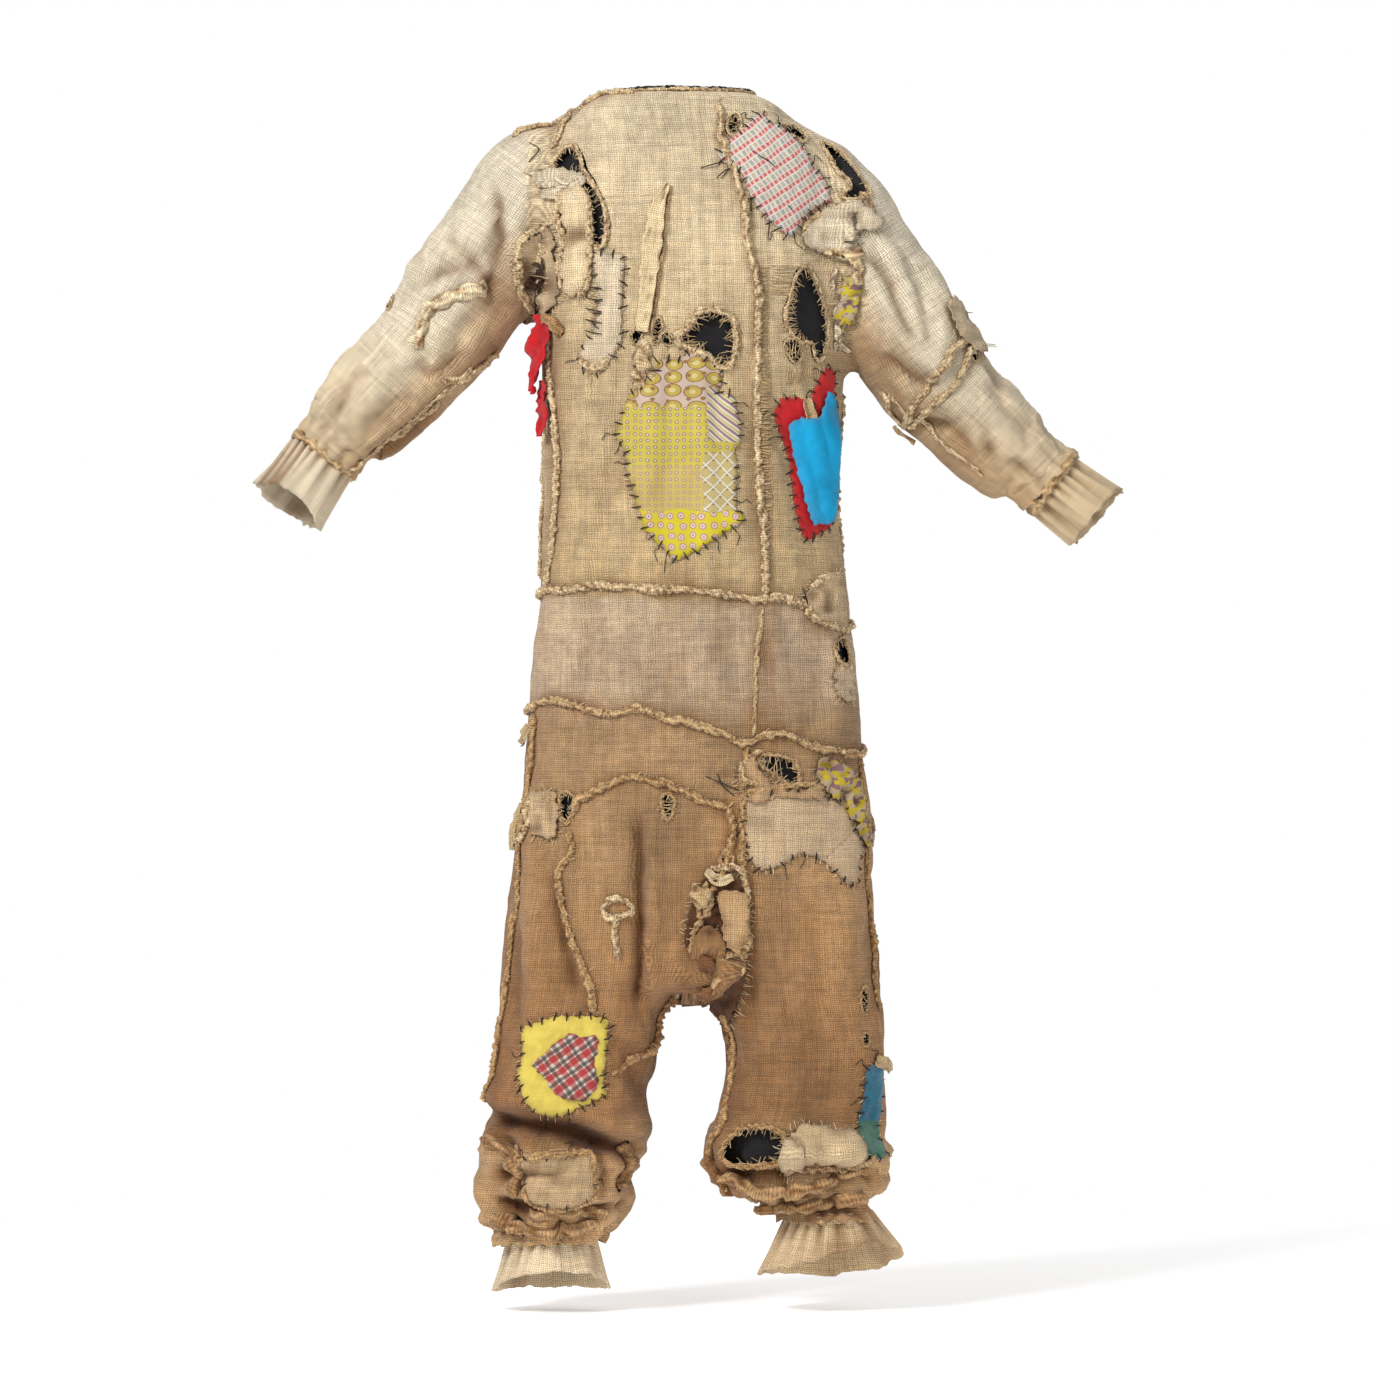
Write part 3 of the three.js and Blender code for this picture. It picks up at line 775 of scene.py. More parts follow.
def thicken(piece, thickness):
    """Gives a sheet its thickness inward, in millimetres."""
    wall = piece.modifiers.new("Thickness", "SOLIDIFY")
    wall.thickness = thickness * MM
    wall.offset = -1
    apply_modifiers(piece)


SMALLEST_SHEET = 0.01  # in metres: for a narrower scrap declare() stops as soon as it has its thickness


def declare(piece, thickness=0.0):
    """Measures the cut that a sheet's weave coordinates give, stretches them if the sheet is much fuller than
    its cut, and then gives it its thickness.
    """
    width, length, area = flat_cut(piece.data)
    fullness = math.sqrt(sum(face.area for face in piece.data.polygons) / area)
    if fullness > 1.12:
        for corner in piece.data.uv_layers["weave"].data:
            corner.uv *= fullness
        width, length, area = flat_cut(piece.data)
    if thickness:
        thicken(piece, thickness)
    if min(width, length) < SMALLEST_SHEET:
        return
    whole = width * length
    area = min(max(area, 0.3 * whole), whole)


def dress(piece, nodes=(), held=None, thickness=0.0, whole=False):
    """Splits a piece of cloth where the garment's zones meet, and parents each part to a body of its zone if
    it lies wholly beyond one end of the span. A small piece that stays whole is put in the last zone that it
    reaches."""
    mesh = piece.data
    zones = zones_of(face_centres(mesh))
    names = list(SPANS)
    found = [names[k] for k in np.unique(zones)]
    if whole:
        found = found[-1:]
    parts = []
    if len(found) == 1:
        parts = [piece]
    else:
        normals = vertex_normals(mesh)
        origin = mesh.attributes.new("origin", "INT", "POINT")
        origin.data.foreach_set("value", np.arange(len(mesh.vertices), dtype=np.int32))
        for zone in found:
            part = bpy.data.objects.new(f"{piece.name}_{zone}", mesh.copy())
            SCENE.collection.objects.link(part)
            keep = zones == names.index(zone)
            with edited(part.data) as bm:
                others = [face for face, kept in zip(bm.faces, keep) if not kept]
                bmesh.ops.delete(bm, geom=others, context="FACES")
            index = np.zeros(len(part.data.vertices), np.int32)
            part.data.attributes["origin"].data.foreach_get("value", index)
            part.data.attributes.remove(part.data.attributes["origin"])
            part.data.normals_split_custom_set_from_vertices([tuple(n) for n in normals[index]])
            parts.append(part)
        remove(piece)
    for part, zone in zip(parts, found):
        if held:
            declare(part, thickness)
        attach(part, zone)
    if nodes:
        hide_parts(*nodes)
    return parts


# ---- Cloth pieces: vertices with a colour and a place on the weave ----
def linear(colour):
    """A colour of 0 to 255, as it looks in the studio, as the cloth's own colour."""
    c = np.asarray(colour, float) / 255
    return np.where(c <= 0.04045, c / 12.92, ((c + 0.055) / 1.055) ** 2.4) * EXPOSED


EXPOSED = 0.86  # the studio's light makes a colour 1 / EXPOSED as bright
PALE = (240, 214, 170)
GOLD = (222, 190, 142)
SOILED = (206, 168, 118)
BROWN = (138, 94, 54)
BLACK = (34, 32, 34)
BRASS = (196, 164, 102)
WHITE = (255, 255, 255)
CREAM_RAG = (246, 230, 200)


def set_tint(mesh, colours):
    """colours has a red, green and blue for each vertex."""
    layer = mesh.color_attributes.new(name="tint", type="FLOAT_COLOR", domain="POINT")
    rgba = np.ones((len(mesh.vertices), 4), np.float32)
    rgba[:, :3] = np.clip(colours, 0.003, 0.9)
    layer.data.foreach_set("color", rgba.ravel())


def loop_vertices(mesh):
    index = np.zeros(len(mesh.loops), np.int32)
    mesh.loops.foreach_get("vertex_index", index)
    return index


def set_weave(mesh, per_vertex):
    """Weave coordinates in metres from one pair for each vertex."""
    layer = mesh.uv_layers.new(name="weave")
    layer.data.foreach_set("uv", np.asarray(per_vertex, np.float32)[loop_vertices(mesh)].ravel())


class Cloth:
    """Gathers vertices, faces, colours and weave coordinates, and makes one object of them."""

    def __init__(self):
        self.vertices, self.faces, self.tints, self.weave = [], [], [], []

    def add(self, vertices, faces, tints, weave):
        offset = len(self.vertices)
        self.vertices.extend(vertices)
        self.faces.extend([tuple(i + offset for i in face) for face in faces])
        self.tints.extend(tints)
        self.weave.extend(weave)

    def made(self, name, look):
        made = new_object(name, self.vertices, self.faces)
        mesh = made.data
        set_tint(mesh, np.array(self.tints))
        set_weave(mesh, np.array(self.weave))
        shade_smooth(mesh)
        mesh.materials.append(look)
        return made


def grid_faces(rows, columns, closed=False):
    faces = []
    for r in range(rows - 1):
        for c in range(columns if closed else columns - 1):
            d = (c + 1) % columns
            faces.append((r * columns + c, r * columns + d, (r + 1) * columns + d, (r + 1) * columns + c))
    return faces


def by_row(columns):
    """Columns of values, each with one for every row, as one list that goes row by row."""
    values = np.stack(columns, axis=1)
    return values.reshape(-1, values.shape[2])


def land(tube, s, v, lift=0.0):
    """The place on the garment's outside at s and v, raised by lift, and the way out there."""
    start = Vector(tube.point(s, v)) * MM
    out = tube.outward(s, v)
    hit, normal, _, _ = SKIN.ray_cast(start + out * 0.030, -out, 0.080)
    if hit is None:
        hit, normal, _, _ = SKIN.find_nearest(start)
    if normal.dot(out) < 0:
        normal = -normal
    normal = (normal + out * 0.5).normalized()
    return np.array(hit + normal * lift * MM), np.array(normal)


def landed(tube, line, lift=0.0):
    """Places, outward directions and sideways directions along a line of s and v."""
    found = [land(tube, s, v, lift) for s, v in line]
    places = np.array([place for place, _ in found])
    normals = np.array([normal for _, normal in found])
    padded = np.pad(normals, ((2, 2), (0, 0)), mode="edge")
    normals = sum(padded[k:k + len(normals)] for k in range(5)) / 5
    normals /= np.linalg.norm(normals, axis=1, keepdims=True)
    ahead = np.gradient(places, axis=0)
    ahead /= np.linalg.norm(ahead, axis=1, keepdims=True).clip(1e-9)
    side = np.cross(ahead, normals)
    side /= np.linalg.norm(side, axis=1, keepdims=True).clip(1e-9)
    return places, normals, side


def on(tube, points):
    """X and Z points as s and v on a tube."""
    return [tube.locate(x, z) for x, z in points]


RIDGE_STEP = 2.6  # between one ring of a ridge and the next
RIDGE_SIDES = 9


def ridge(cloth, tube, points, wide=8, high=5, seed=1, closed=False, colour=None):
    """A raised, crinkled seam or rolled edge on the garment: raw cloth turned over and stitched down."""
    if colour is None:
        depth = min(1.0, max(0.0, (-560 - np.mean([point[1] for point in points])) / 300))
        colour = np.array(PALE) * (1 - depth) + np.array(SOILED) * depth
    line = curve_through(on(tube, points), RIDGE_STEP, closed)
    if closed:
        line = np.vstack([line, line[:1]])
    places, normals, side = landed(tube, line)
    ridge_at(cloth, places, normals, side, wide, high, seed, closed, colour)


def ridge_at(cloth, places, normals, side, wide=8, high=5, seed=1, closed=False, colour=PALE):
    """The same, along places in metres that are RIDGE_STEP apart."""
    count = len(places)
    grain = max(1.0, wide / 9)
    along = np.arange(count) * RIDGE_STEP
    vertices, tints, weave = [], [], []
    plain = np.stack([along, along * 0, along * 0], axis=1)
    wander = noise_at(plain, 17, seed) * 1.6
    size = 1 + 0.28 * noise_at(plain, 23, seed + 3)
    if not closed:
        size *= np.minimum(1, 0.35 + np.minimum(along, along[-1] - along) / 8)
    centre = places + side * (wander * MM)[:, None] + normals * (high * 0.3 * size * MM)[:, None]
    pale, brown = linear(colour), linear(BROWN)
    for k in range(RIDGE_SIDES):
        angle = -math.pi / 2 + 2 * math.pi * k / RIDGE_SIDES
        around = np.array([math.sin(angle), math.cos(angle)]) * 1.3
        sample = np.stack([along / 5 / grain ** 2, np.full(count, around[0]), np.full(count, around[1])],
                          axis=1)
        lump = noise_at(sample, 1, seed)
        pleat = np.sin(along * 2 * math.pi / 8.5 / grain ** 2 + 2 * angle + 3 * wander / grain)
        grown = size * (1 + 0.5 * lump + 0.26 * pleat)
        out = math.sin(angle) * (high if math.sin(angle) > 0 else high * 0.45)
        offset = side * (math.cos(angle) * wide / 2 * grown * MM)[:, None]
        offset += normals * (out * grown * MM)[:, None]
        vertices.append(centre + offset)
        # Painted shade: the ridge's pleat gaps, sunken lumps and underside are mixed toward brown, its crests
        # toward the pale colour.
        shade = smooth(0.50 + 0.75 * lump + 0.42 * pleat + 0.3 * math.sin(angle))[:, None]
        tints.append(brown * (1 - shade) + pale * shade)
        weave.append(np.stack([along * MM, np.full(count, k * 1.6 * MM)], axis=1))
    cloth.add(by_row(vertices), grid_faces(count, RIDGE_SIDES, True), by_row(tints), by_row(weave))


def strand(cloth, path, radius, colour):
    """A thread along points in metres, thinner at its ends."""
    sides = 4
    path = np.array(path)
    count = len(path)
    ahead = np.gradient(path, axis=0)
    ahead /= np.linalg.norm(ahead, axis=1, keepdims=True).clip(1e-9)
    across = np.cross(ahead, np.array([0.31, -0.82, 0.48]))
    across /= np.linalg.norm(across, axis=1, keepdims=True).clip(1e-9)
    up = np.cross(across, ahead)
    thick = radius * MM * (0.55 + 0.45 * np.sin(np.linspace(0.15, math.pi - 0.15, count)))
    rings = []
    for k in range(sides):
        angle = 2 * math.pi * k / sides
        rings.append(path + (across * math.cos(angle) + up * math.sin(angle)) * thick[:, None])
    vertices = np.stack(rings, axis=1).reshape(-1, 3)
    tints = np.tile(np.asarray(colour), (len(vertices), 1))
    weave = vertices[:, [0, 2]]
    faces = grid_faces(count, sides, True)
    faces.append(tuple(range(sides - 1, -1, -1)))
    faces.append(tuple((count - 1) * sides + k for k in range(sides)))
    cloth.add(vertices, faces, tints, weave)


def thread_on(cloth, tube, points, lifts, radius, colour):
    """A thread over the garment through s and v points, each this high above it, in millimetres."""
    path = []
    for (s, v), lift in zip(points, lifts):
        place, _ = land(tube, s, v, lift)
        path.append(place)
    strand(cloth, curve_through(path, 0.0022), radius, colour)


# ---- The garment: folds ----
# Each crease: X and Z points from left to right, its depth, its half width, and the cloth's swell beside it
CREASES = [
    ([(-242, -1200), (-188, -1207), (-153, -1211), (-118, -1222), (-84, -1238), (-50, -1246)], 27, 11, 17),
    ([(-246, -1262), (-205, -1268), (-172, -1262), (-140, -1272)], 12, 8, 9),
    ([(-240, -1300), (-200, -1306), (-153, -1310), (-106, -1306), (-70, -1300)], 14, 9, 10),
    ([(-225, -1212), (-206, -1240), (-222, -1276)], 12, 9, 8),
    ([(-118, -1226), (-98, -1262), (-112, -1300)], 12, 9, 8),
    ([(-70, -1240), (-62, -1268), (-84, -1296)], 10, 8, 6),
    ([(-210, -868), (-208, -1000), (-204, -1100)], 7, 10, 4),
    ([(-160, -905), (-148, -985), (-128, -1062)], 8, 10, 5),
    ([(-59, -845), (-57, -950), (-58, -1075)], 14, 7, 9),
    ([(-118, -1080), (-80, -1120), (-54, -1185)], 8, 11, 6),
    ([(-196, -1196), (-150, -1188), (-92, -1176)], 6, 9, 5),
    ([(32, -1258), (80, -1270), (130, -1264), (200, -1250)], 22, 10, 15),
    ([(52, -1300), (106, -1296), (153, -1282), (222, -1256)], 15, 9, 11),
    ([(80, -1322), (125, -1310), (165, -1303), (208, -1302)], 10, 7, 8),
    ([(150, -1238), (172, -1266), (160, -1300)], 10, 8, 7),
    ([(96, -1262), (112, -1286), (104, -1312)], 10, 8, 7),
    ([(186, -1244), (206, -1268), (200, -1296)], 10, 8, 7),
    ([(70, -900), (66, -1000), (74, -1110)], 6, 12, 5),
    ([(140, -930), (150, -1040), (140, -1160)], 5, 14, 4),
    ([(222, -905), (216, -1000), (222, -1080)], 6, 9, 4),
    ([(-226, -110), (-222, -180), (-236, -250)], 12, 9, 8),
    ([(-290, -170), (-258, -196), (-232, -236)], 10, 8, 8),
    ([(-330, -232), (-290, -214), (-252, -205)], 9, 8, 7),
    ([(-320, -312), (-300, -330), (-262, -300)], 9, 7, 6),
    ([(-420, -385), (-402, -345), (-372, -318)], 9, 9, 7),
    ([(-392, -412), (-352, -372), (-318, -352)], 9, 9, 7),
    ([(-384, -440), (-344, -404), (-300, -376)], 9, 8, 6),
    ([(204, -186), (238, -232), (262, -300)], 11, 8, 8),
    ([(246, -196), (272, -246), (284, -306)], 10, 8, 8),
    ([(214, -310), (252, -324), (292, -352)], 10, 8, 7),
    ([(256, -386), (306, -392), (334, -432)], 11, 9, 8),
    ([(312, -372), (346, -396), (352, -440)], 9, 10, 7),
    ([(352, -330), (372, -372), (408, -408)], 9, 10, 7),
    ([(372, -430), (402, -446), (420, -474)], 7, 8, 5),
    ([(-172, -250), (-176, -330), (-168, -420)], 4, 12, 3),
    ([(70, -300), (74, -420), (78, -560)], 4, 9, 3),
    ([(140, -650), (150, -700), (146, -756)], 4, 12, 3),
    ([(-100, -600), (-96, -660), (-104, -715)], 3, 14, 3),
    ([(-30, -604), (-26, -660), (-34, -722)], 3, 14, 3),
]
GATHER_REACH = 34  # how far from an elastic the cloth is still gathered, in millimetres


def creased(co, normals):
    """How far outward each crease moves each point, in millimetres."""
    x, z = co[:, 0] / MM, co[:, 2] / MM
    facing = smooth(0.75 - normals[:, 1] * 1.5) * (co[:, 1] / MM < 45)
    moved = np.zeros(len(co))
    for points, depth, wide, swell in CREASES:
        reach = 4 * wide + 20
        line = np.array(points)
        low, high = line.min(axis=0) - reach, line.max(axis=0) + reach
        near = (x > low[0]) & (x < high[0]) & (z > low[1]) & (z < high[1]) & (facing > 0)
        away, along, length = from_line(points, x[near], z[near])
        away = away + 2.5 * noise_at(co[near] / MM, 22, 3)
        ends = smooth(np.minimum(along, length - along) / 28 + 0.15)
        beside = away * math.copysign(1, swell)
        offset = -depth * np.exp(-(away / wide) ** 2)
        offset += abs(swell) * np.exp(-((beside - 2.2 * wide) / (1.7 * wide)) ** 2)
        moved[near] += offset * ends * facing[near]
    return moved


def wrinkled(co):
    """The cloth's small wrinkles and its gathers at the elastics, outward in millimetres."""
    x, y, z = (co / MM).T
    moved = np.zeros(len(co))
    fullness = 1.0 + 0.8 * smooth((-1060 - z) / 60) + 0.5 * smooth((-850 - z) / 80)
    for scale, height, seed in (((60, 60, 90), 3.0, 1), ((26, 26, 44), 1.7, 2), ((12, 12, 16), 0.6, 3)):
        moved += height * noise_at(co / MM, np.array(scale), seed) * fullness
    lower = smooth((-1185 - z) / 40)
    rolls = np.abs(noise_at(co / MM, np.array((64, 64, 26)), 6))
    moved += lower * (7.5 - 22 * rolls)
    for hand, end in ANKLE_Z.items():
        side = ARMS[hand]["side"]
        own = side * (x - LEGS_MEET_X) > 0
        middle = LEG[hand].section(end)[0]
        turn = np.arctan2(y - MID_Y, x - middle)
        wave = np.sin(turn * 15 + 2.4 * noise_at(co / MM, 40, 8) + 0.9 * np.sin(turn * 4))
        moved += own * 4.2 * wave * np.exp(-((z - end) / GATHER_REACH) ** 2)
    for hand, arm in ARMS.items():
        own = (arm["side"] * x > 200) & (z > SLEEVE_BOTTOM_Z)
        s, v = SLEEVE[hand].unrolled(co)
        turn = s / SLEEVE[hand].radius
        end = arm["upper"] + arm["fore"]
        folds = np.abs(noise_at(np.stack([s, v * 0.45, v * 0], axis=1), 34, 9))
        amount = smooth((v - 40) / 80)
        moved += own * amount * (3.4 - 10 * folds)
        wave = np.sin(turn * 13 + 2.2 * noise_at(co / MM, 36, 10) + 0.8 * np.sin(turn * 3))
        moved += own * 3.6 * wave * np.exp(-((v - end) / GATHER_REACH) ** 2)
    return moved


# ---- The garment: colour ----
SEAMS = {
    "waist": [(-181, -587), (-166, -581), (-151, -585), (-118, -581), (-92, -581), (-47, -583), (12, -585),
              (59, -593), (77, -597), (106, -595), (137, -602)],
    "waist_step": [(137, -600), (140, -613), (159, -624), (188, -628), (204, -626)],
    "hip": [(-192, -721), (-171, -714), (-141, -716), (-112, -726), (-88, -728), (-59, -723), (-24, -734),
            (0, -739), (24, -746), (53, -760), (71, -762), (84, -754), (106, -753), (130, -762), (165, -772),
            (207, -777)],
    "left_side": [(-168, -289), (-165, -336), (-158, -383), (-157, -442), (-159, -501), (-165, -548),
                  (-170, -583)],
    "shoulder_drop": [(-168, -27), (-161, -47), (-161, -68)],
    "front": [(33, -14), (40, -65), (53, -100), (65, -141), (68, -183), (77, -224), (79, -265), (79, -359),
              (82, -454), (86, -524), (88, -593)],
    "front_band": [(84, -601), (79, -654), (77, -713), (73, -754)],
    "front_hip": [(66, -766), (62, -819), (61, -889), (64, -948), (67, -1015)],
    "shoulder": [(-153, -20), (-118, -8), (-88, 2), (-66, -1)],
    "sleeve_head": [(-214, -48), (-200, -20), (-182, -14), (-166, -27)],
    "hip_flap": [(-190, -822), (-175, -823), (-161, -834)],
    "hip_curve": [(-135, -845), (-130, -830), (-112, -821), (-82, -807), (-59, -803), (-29, -810), (0, -822),
                  (18, -832), (45, -838)],
    "crotch_edge": [(45, -838), (49, -866), (38, -913), (15, -948), (2, -1007), (-8, -1042)],
    "leg_edge": [(-144, -866), (-139, -889), (-153, -915), (-150, -948), (-135, -995), (-118, -1037),
                 (-112, -1078)],
    "outer_right": [(-185, -730), (-192, -783), (-199, -830), (-208, -890), (-216, -960), (-221, -1066),
                    (-228, -1137), (-232, -1184)],
    "outer_left": [(209, -783), (213, -830), (219, -901), (223, -960), (225, -1019), (226, -1078)],
    "inner_left": [(44, -1078), (49, -1137), (48, -1172), (38, -1207), (28, -1231), (34, -1262), (56, -1290)],
}
ARM_SEAMS = {
    "right": [
        [(-320, -303), (-313, -277), (-307, -258), (-289, -245), (-271, -238), (-253, -233), (-236, -231)],
        [(-294, -335), (-259, -318), (-232, -298)],
        [(-392, -450), (-342, -412), (-306, -376), (-297, -359)],
    ],
    "left": [
        [(232, -344), (241, -355), (246, -383), (253, -395)],
        [(333, -277), (312, -300), (289, -333), (266, -366), (254, -390)],
        [(338, -303), (312, -342), (285, -367), (262, -389)],
    ],
}
DIRT_AND_SHADE = [  # x, z, how far it spreads across and down, and its strength: hand marks, sweat and soil, and painted shadow in bands along creases, strongest under the overhang at the right shin
    (-175, -300, 40, 60, 0.5), (185, -320, 30, 60, 0.5), (-180, -640, 16, 60, 0.3), (92, -650, 12, 60, 0.5),
    (-120, -640, 10, 50, 0.25), (30, -650, 14, 55, 0.25), (130, -690, 10, 50, 0.25), (192, -720, 16, 40, 0.5),
    (-60, -860, 30, 60, 0.2), (-175, -1000, 22, 120, 0.45), (25, -960, 45, 90, 0.8), (60, -1060, 22, 70, 0.4),
    (-215, -1215, 45, 26, 0.9), (-120, -1222, 60, 12, 0.5), (-60, -1020, 14, 80, 0.5),
    (150, -1240, 60, 14, 0.5),
    (60, -1270, 30, 24, 0.5), (120, -960, 50, 30, 0.25), (-225, -210, 16, 60, 0.6),
    (-262, -190, 26, 20, 0.35),
    (-290, -212, 30, 12, 0.3), (240, -310, 34, 30, 0.4), (-330, -395, 46, 30, 0.45),
    (300, -430, 50, 26, 0.45),
    (-150, -1330, 50, 16, 0.5), (160, -1312, 50, 16, 0.4), (-155, -400, 12, 160, 0.35),
    (92, -450, 12, 130, 0.3),
]
SHADES = [  # height, and the cloth's colour there
    (0, (238, 219, 184)), (-140, (234, 212, 174)), (-330, (222, 196, 154)), (-560, (214, 185, 140)),
    (-584, (212, 183, 138)), (-590, (216, 190, 157)), (-700, (208, 180, 148)), (-745, (184, 150, 111)),
    (-900, (174, 138, 98)), (-1080, (162, 122, 82)), (-1190, (152, 112, 74)), (-1240, (186, 150, 108)),
    (-1400, (184, 150, 110)),
]


def between(table, at):
    heights = np.array([row[0] for row in table], float)
    order = np.argsort(heights)
    colours = np.array([row[1] for row in table], float)
    return np.stack([np.interp(at, heights[order], colours[order, k]) for k in range(3)], axis=1)


def burlap_colours(co, normals, hollow):
    """The burlap's colour at each point: panels, fading and stains; brown marks that are partly dirt and
    partly painted shadow along creases; brown beside the seams, partly dirt and partly painted shade; painted
    shade in the hollows of the creases and folds, and on the sleeves' undersides.
    """
    x, z = co[:, 0] / MM, co[:, 2] / MM
    step = -2 + (x + 190) * -0.045 * (z > -700)
    colour = between(SHADES, z - step)
    for hand, arm in ARMS.items():
        own = (arm["side"] * x > SLEEVE_FROM - 8) & (z > SLEEVE_BOTTOM_Z)
        s, v = SLEEVE[hand].unrolled(co)
        end = arm["upper"] + arm["fore"]
        pale = between([(0, (246, 233, 208)), (end * 0.55, (243, 229, 202)), (end, (226, 203, 168))], v)
        # Painted shade: each sleeve's underside is mixed toward a darker brown.
        under = smooth(np.sin(s / SLEEVE[hand].radius) * arm["side"] * 1.1)
        pale = pale * (1 - under[:, None]) + np.array([(204, 172, 132)]) * under[:, None]
        share = smooth((arm["side"] * x - SLEEVE_FROM + 8) / 16) * own
        colour = colour * (1 - share[:, None]) + pale * share[:, None]
    places = co / MM
    mottle = 1 + 0.07 * noise_at(places, 75, 12) + 0.05 * noise_at(places, 26, 13)
    mottle += 0.08 * noise_at(places, 7, 14)
    legs = smooth((-790 - z) / 60)
    mottle += legs * (0.13 * noise_at(places, np.array((46, 46, 170)), 16) + 0.07)
    band = (z < WAIST_Z) & (z > -740)
    stripes = noise_at(np.stack([x / 26, z / 400, x * 0], axis=1), 1, 15)
    mottle += np.where(band, 0.08, 0.03) * stripes
    brown_amount = np.zeros(len(co))
    front = smooth(0.5 - normals[:, 1] * 2)
    for dx, dz, across, down, strength in DIRT_AND_SHADE:
        brown_amount += strength * np.exp(-((x - dx) / across) ** 2 - ((z - dz) / down) ** 2) * (0.35 + 0.65 * front)
    # Brown beside the seams and sleeve seams: partly dirt, partly painted shade beside the raised seam ridges.
    for points in SEAMS.values():
        away, _, _ = from_line(points, x, z)
        brown_amount += 0.55 * front * np.exp(-(away / 10) ** 2) * (1 + noise_at(places, 30, 16))
    for lines in ARM_SEAMS.values():
        for points in lines:
            away, _, _ = from_line(points, x, z)
            brown_amount += 0.4 * front * np.exp(-(away / 9) ** 2) * (1 + noise_at(places, 30, 16))
    patches = smooth(noise_at(places, 55, 17) * 1.6 - 0.25)
    brown_amount += 0.30 * patches * smooth((-200 - z) / 500 + 0.35)
    # Painted shade: more brown in the hollows of the creases and fold valleys.
    brown_amount += 0.05 * np.clip(-hollow, 0, 20)
    brown_amount = np.clip(brown_amount, 0, 1)[:, None]
    toned = colour * mottle[:, None]
    toned *= np.minimum(1, 250 / toned.max(axis=1, keepdims=True))
    clean = linear(toned)
    shaded = clean * (1 - brown_amount * 0.75) + linear(BROWN) * brown_amount * 0.75
    # Painted shade: the deeper hollows are darkened, least in red and most in blue, as warm shade.
    return shaded * (1 - smooth((-hollow - 4) / 13)[:, None] * np.array([0.62, 0.73, 0.82]))


def weave_garment(mesh):
    """Weave coordinates for the whole garment: each face uses the tube that it belongs to."""
    co = coordinates(mesh)
    count = len(mesh.polygons)
    zones = zones_of(face_centres(mesh))
    totals = np.zeros(count, np.int32)
    mesh.polygons.foreach_get("loop_total", totals)
    loop_face = np.repeat(np.arange(count), totals)
    index = loop_vertices(mesh)
    uv = np.zeros((len(index), 2))
    first = np.concatenate([[0], np.cumsum(totals)[:-1]])
    for number, zone in enumerate(SPANS):
        tube = tube_of(zone)
        s, v = tube.unrolled(co)
        mine = zones[loop_face] == number
        loop_s, loop_v = s[index], v[index]
        lead = loop_s[first][loop_face]
        girth = tube.girth(loop_v)
        loop_s = loop_s + girth * np.round((lead - loop_s) / girth)
        uv[mine] = np.stack([loop_s, loop_v], axis=1)[mine] * MM
    layer = mesh.uv_layers.new(name="weave")
    layer.data.foreach_set("uv", uv.astype(np.float32).ravel())


# ---- The garment: torn holes ----
HOLES = {  # X and Z outlines; the lining shows black through them
    "chest": ("body", [(-16, -294), (0, -277), (8, -263), (26, -259), (45, -267), (53, -283), (53, -306),
                       (47, -322), (35, -326), (18, -312), (-2, -305)]),
    "armhole": ("body", [(-157, -75), (-145, -65), (-134, -73), (-127, -93), (-112, -114), (-99, -143),
                         (-98, -165), (-102, -184), (-115, -186), (-123, -159), (-127, -120), (-158, -94)]),
    "strip_left": ("body", [(-67, -282), (-59, -270), (-55, -284), (-62, -299), (-70, -292)]),
    "strip_right": ("body", [(-41, -272), (-34, -268), (-32, -284), (-39, -300), (-44, -289)]),
    "strip_small": ("body", [(-36, -291), (-26, -285), (-17, -295), (-26, -300)]),
    "neck": ("body", [(45, -39), (54, -28), (61, -41), (56, -55), (46, -52)]),
    "shoulder": ("body", [(108, -42), (130, -41), (141, -53), (137, -61), (124, -55), (112, -49)]),
    "shoulder_slit": ("sleeve_left", [(161, -55), (172, -58), (187, -78), (200, -100), (208, -124),
                                      (190, -129),
                                      (176, -124), (186, -110), (173, -90), (163, -72)]),
    "side_front": ("body", [(128, -216), (138, -206), (148, -214), (158, -236), (166, -262), (166, -296),
                            (158, -318), (150, -314), (146, -298), (132, -296), (118, -284), (113, -262),
                            (120, -240)]),
    "side_front_low": ("body", [(113, -294), (130, -294), (133, -310), (125, -322), (115, -310)]),
    "band": ("body", [(170, -648), (182, -638), (190, -652), (193, -672), (190, -686), (180, -675),
                      (171, -664)]),
    "hip": ("body", [(80, -779), (88, -776), (118, -781), (124, -789), (126, -809), (118, -813), (100, -801),
                     (82, -789)]),
    "hip_left": ("body", [(-154, -827), (-145, -819), (-134, -827), (-138, -845), (-147, -857),
                          (-153, -845)]),
    "thigh": ("body", [(-34, -829), (-26, -822), (-17, -830), (-20, -845), (-26, -852), (-33, -840)]),
    "thigh_inner": ("body", [(36, -893), (44, -887), (50, -894), (49, -905), (42, -910), (36, -904)]),
    "outer_slit": ("leg_left", [(200, -1052), (208, -1050), (207, -1072), (201, -1079), (199, -1064)]),
    "outer_nick": ("leg_left", [(199, -1104), (207, -1102), (206, -1114), (200, -1116)]),
    "knee": ("leg_left", [(44, -1231), (53, -1217), (65, -1211), (88, -1210), (106, -1217), (113, -1230),
                          (112, -1248), (88, -1254), (65, -1256), (49, -1246)]),
    "elbow_right": ("sleeve_right", [(-364, -236), (-355, -233), (-352, -248), (-360, -250)]),
    "elbow_left": ("forearm_left", [(332, -301), (341, -303), (337, -314)]),
}
SLIT_HALF = 5.0  # half the width of the back's opening, beside the zip


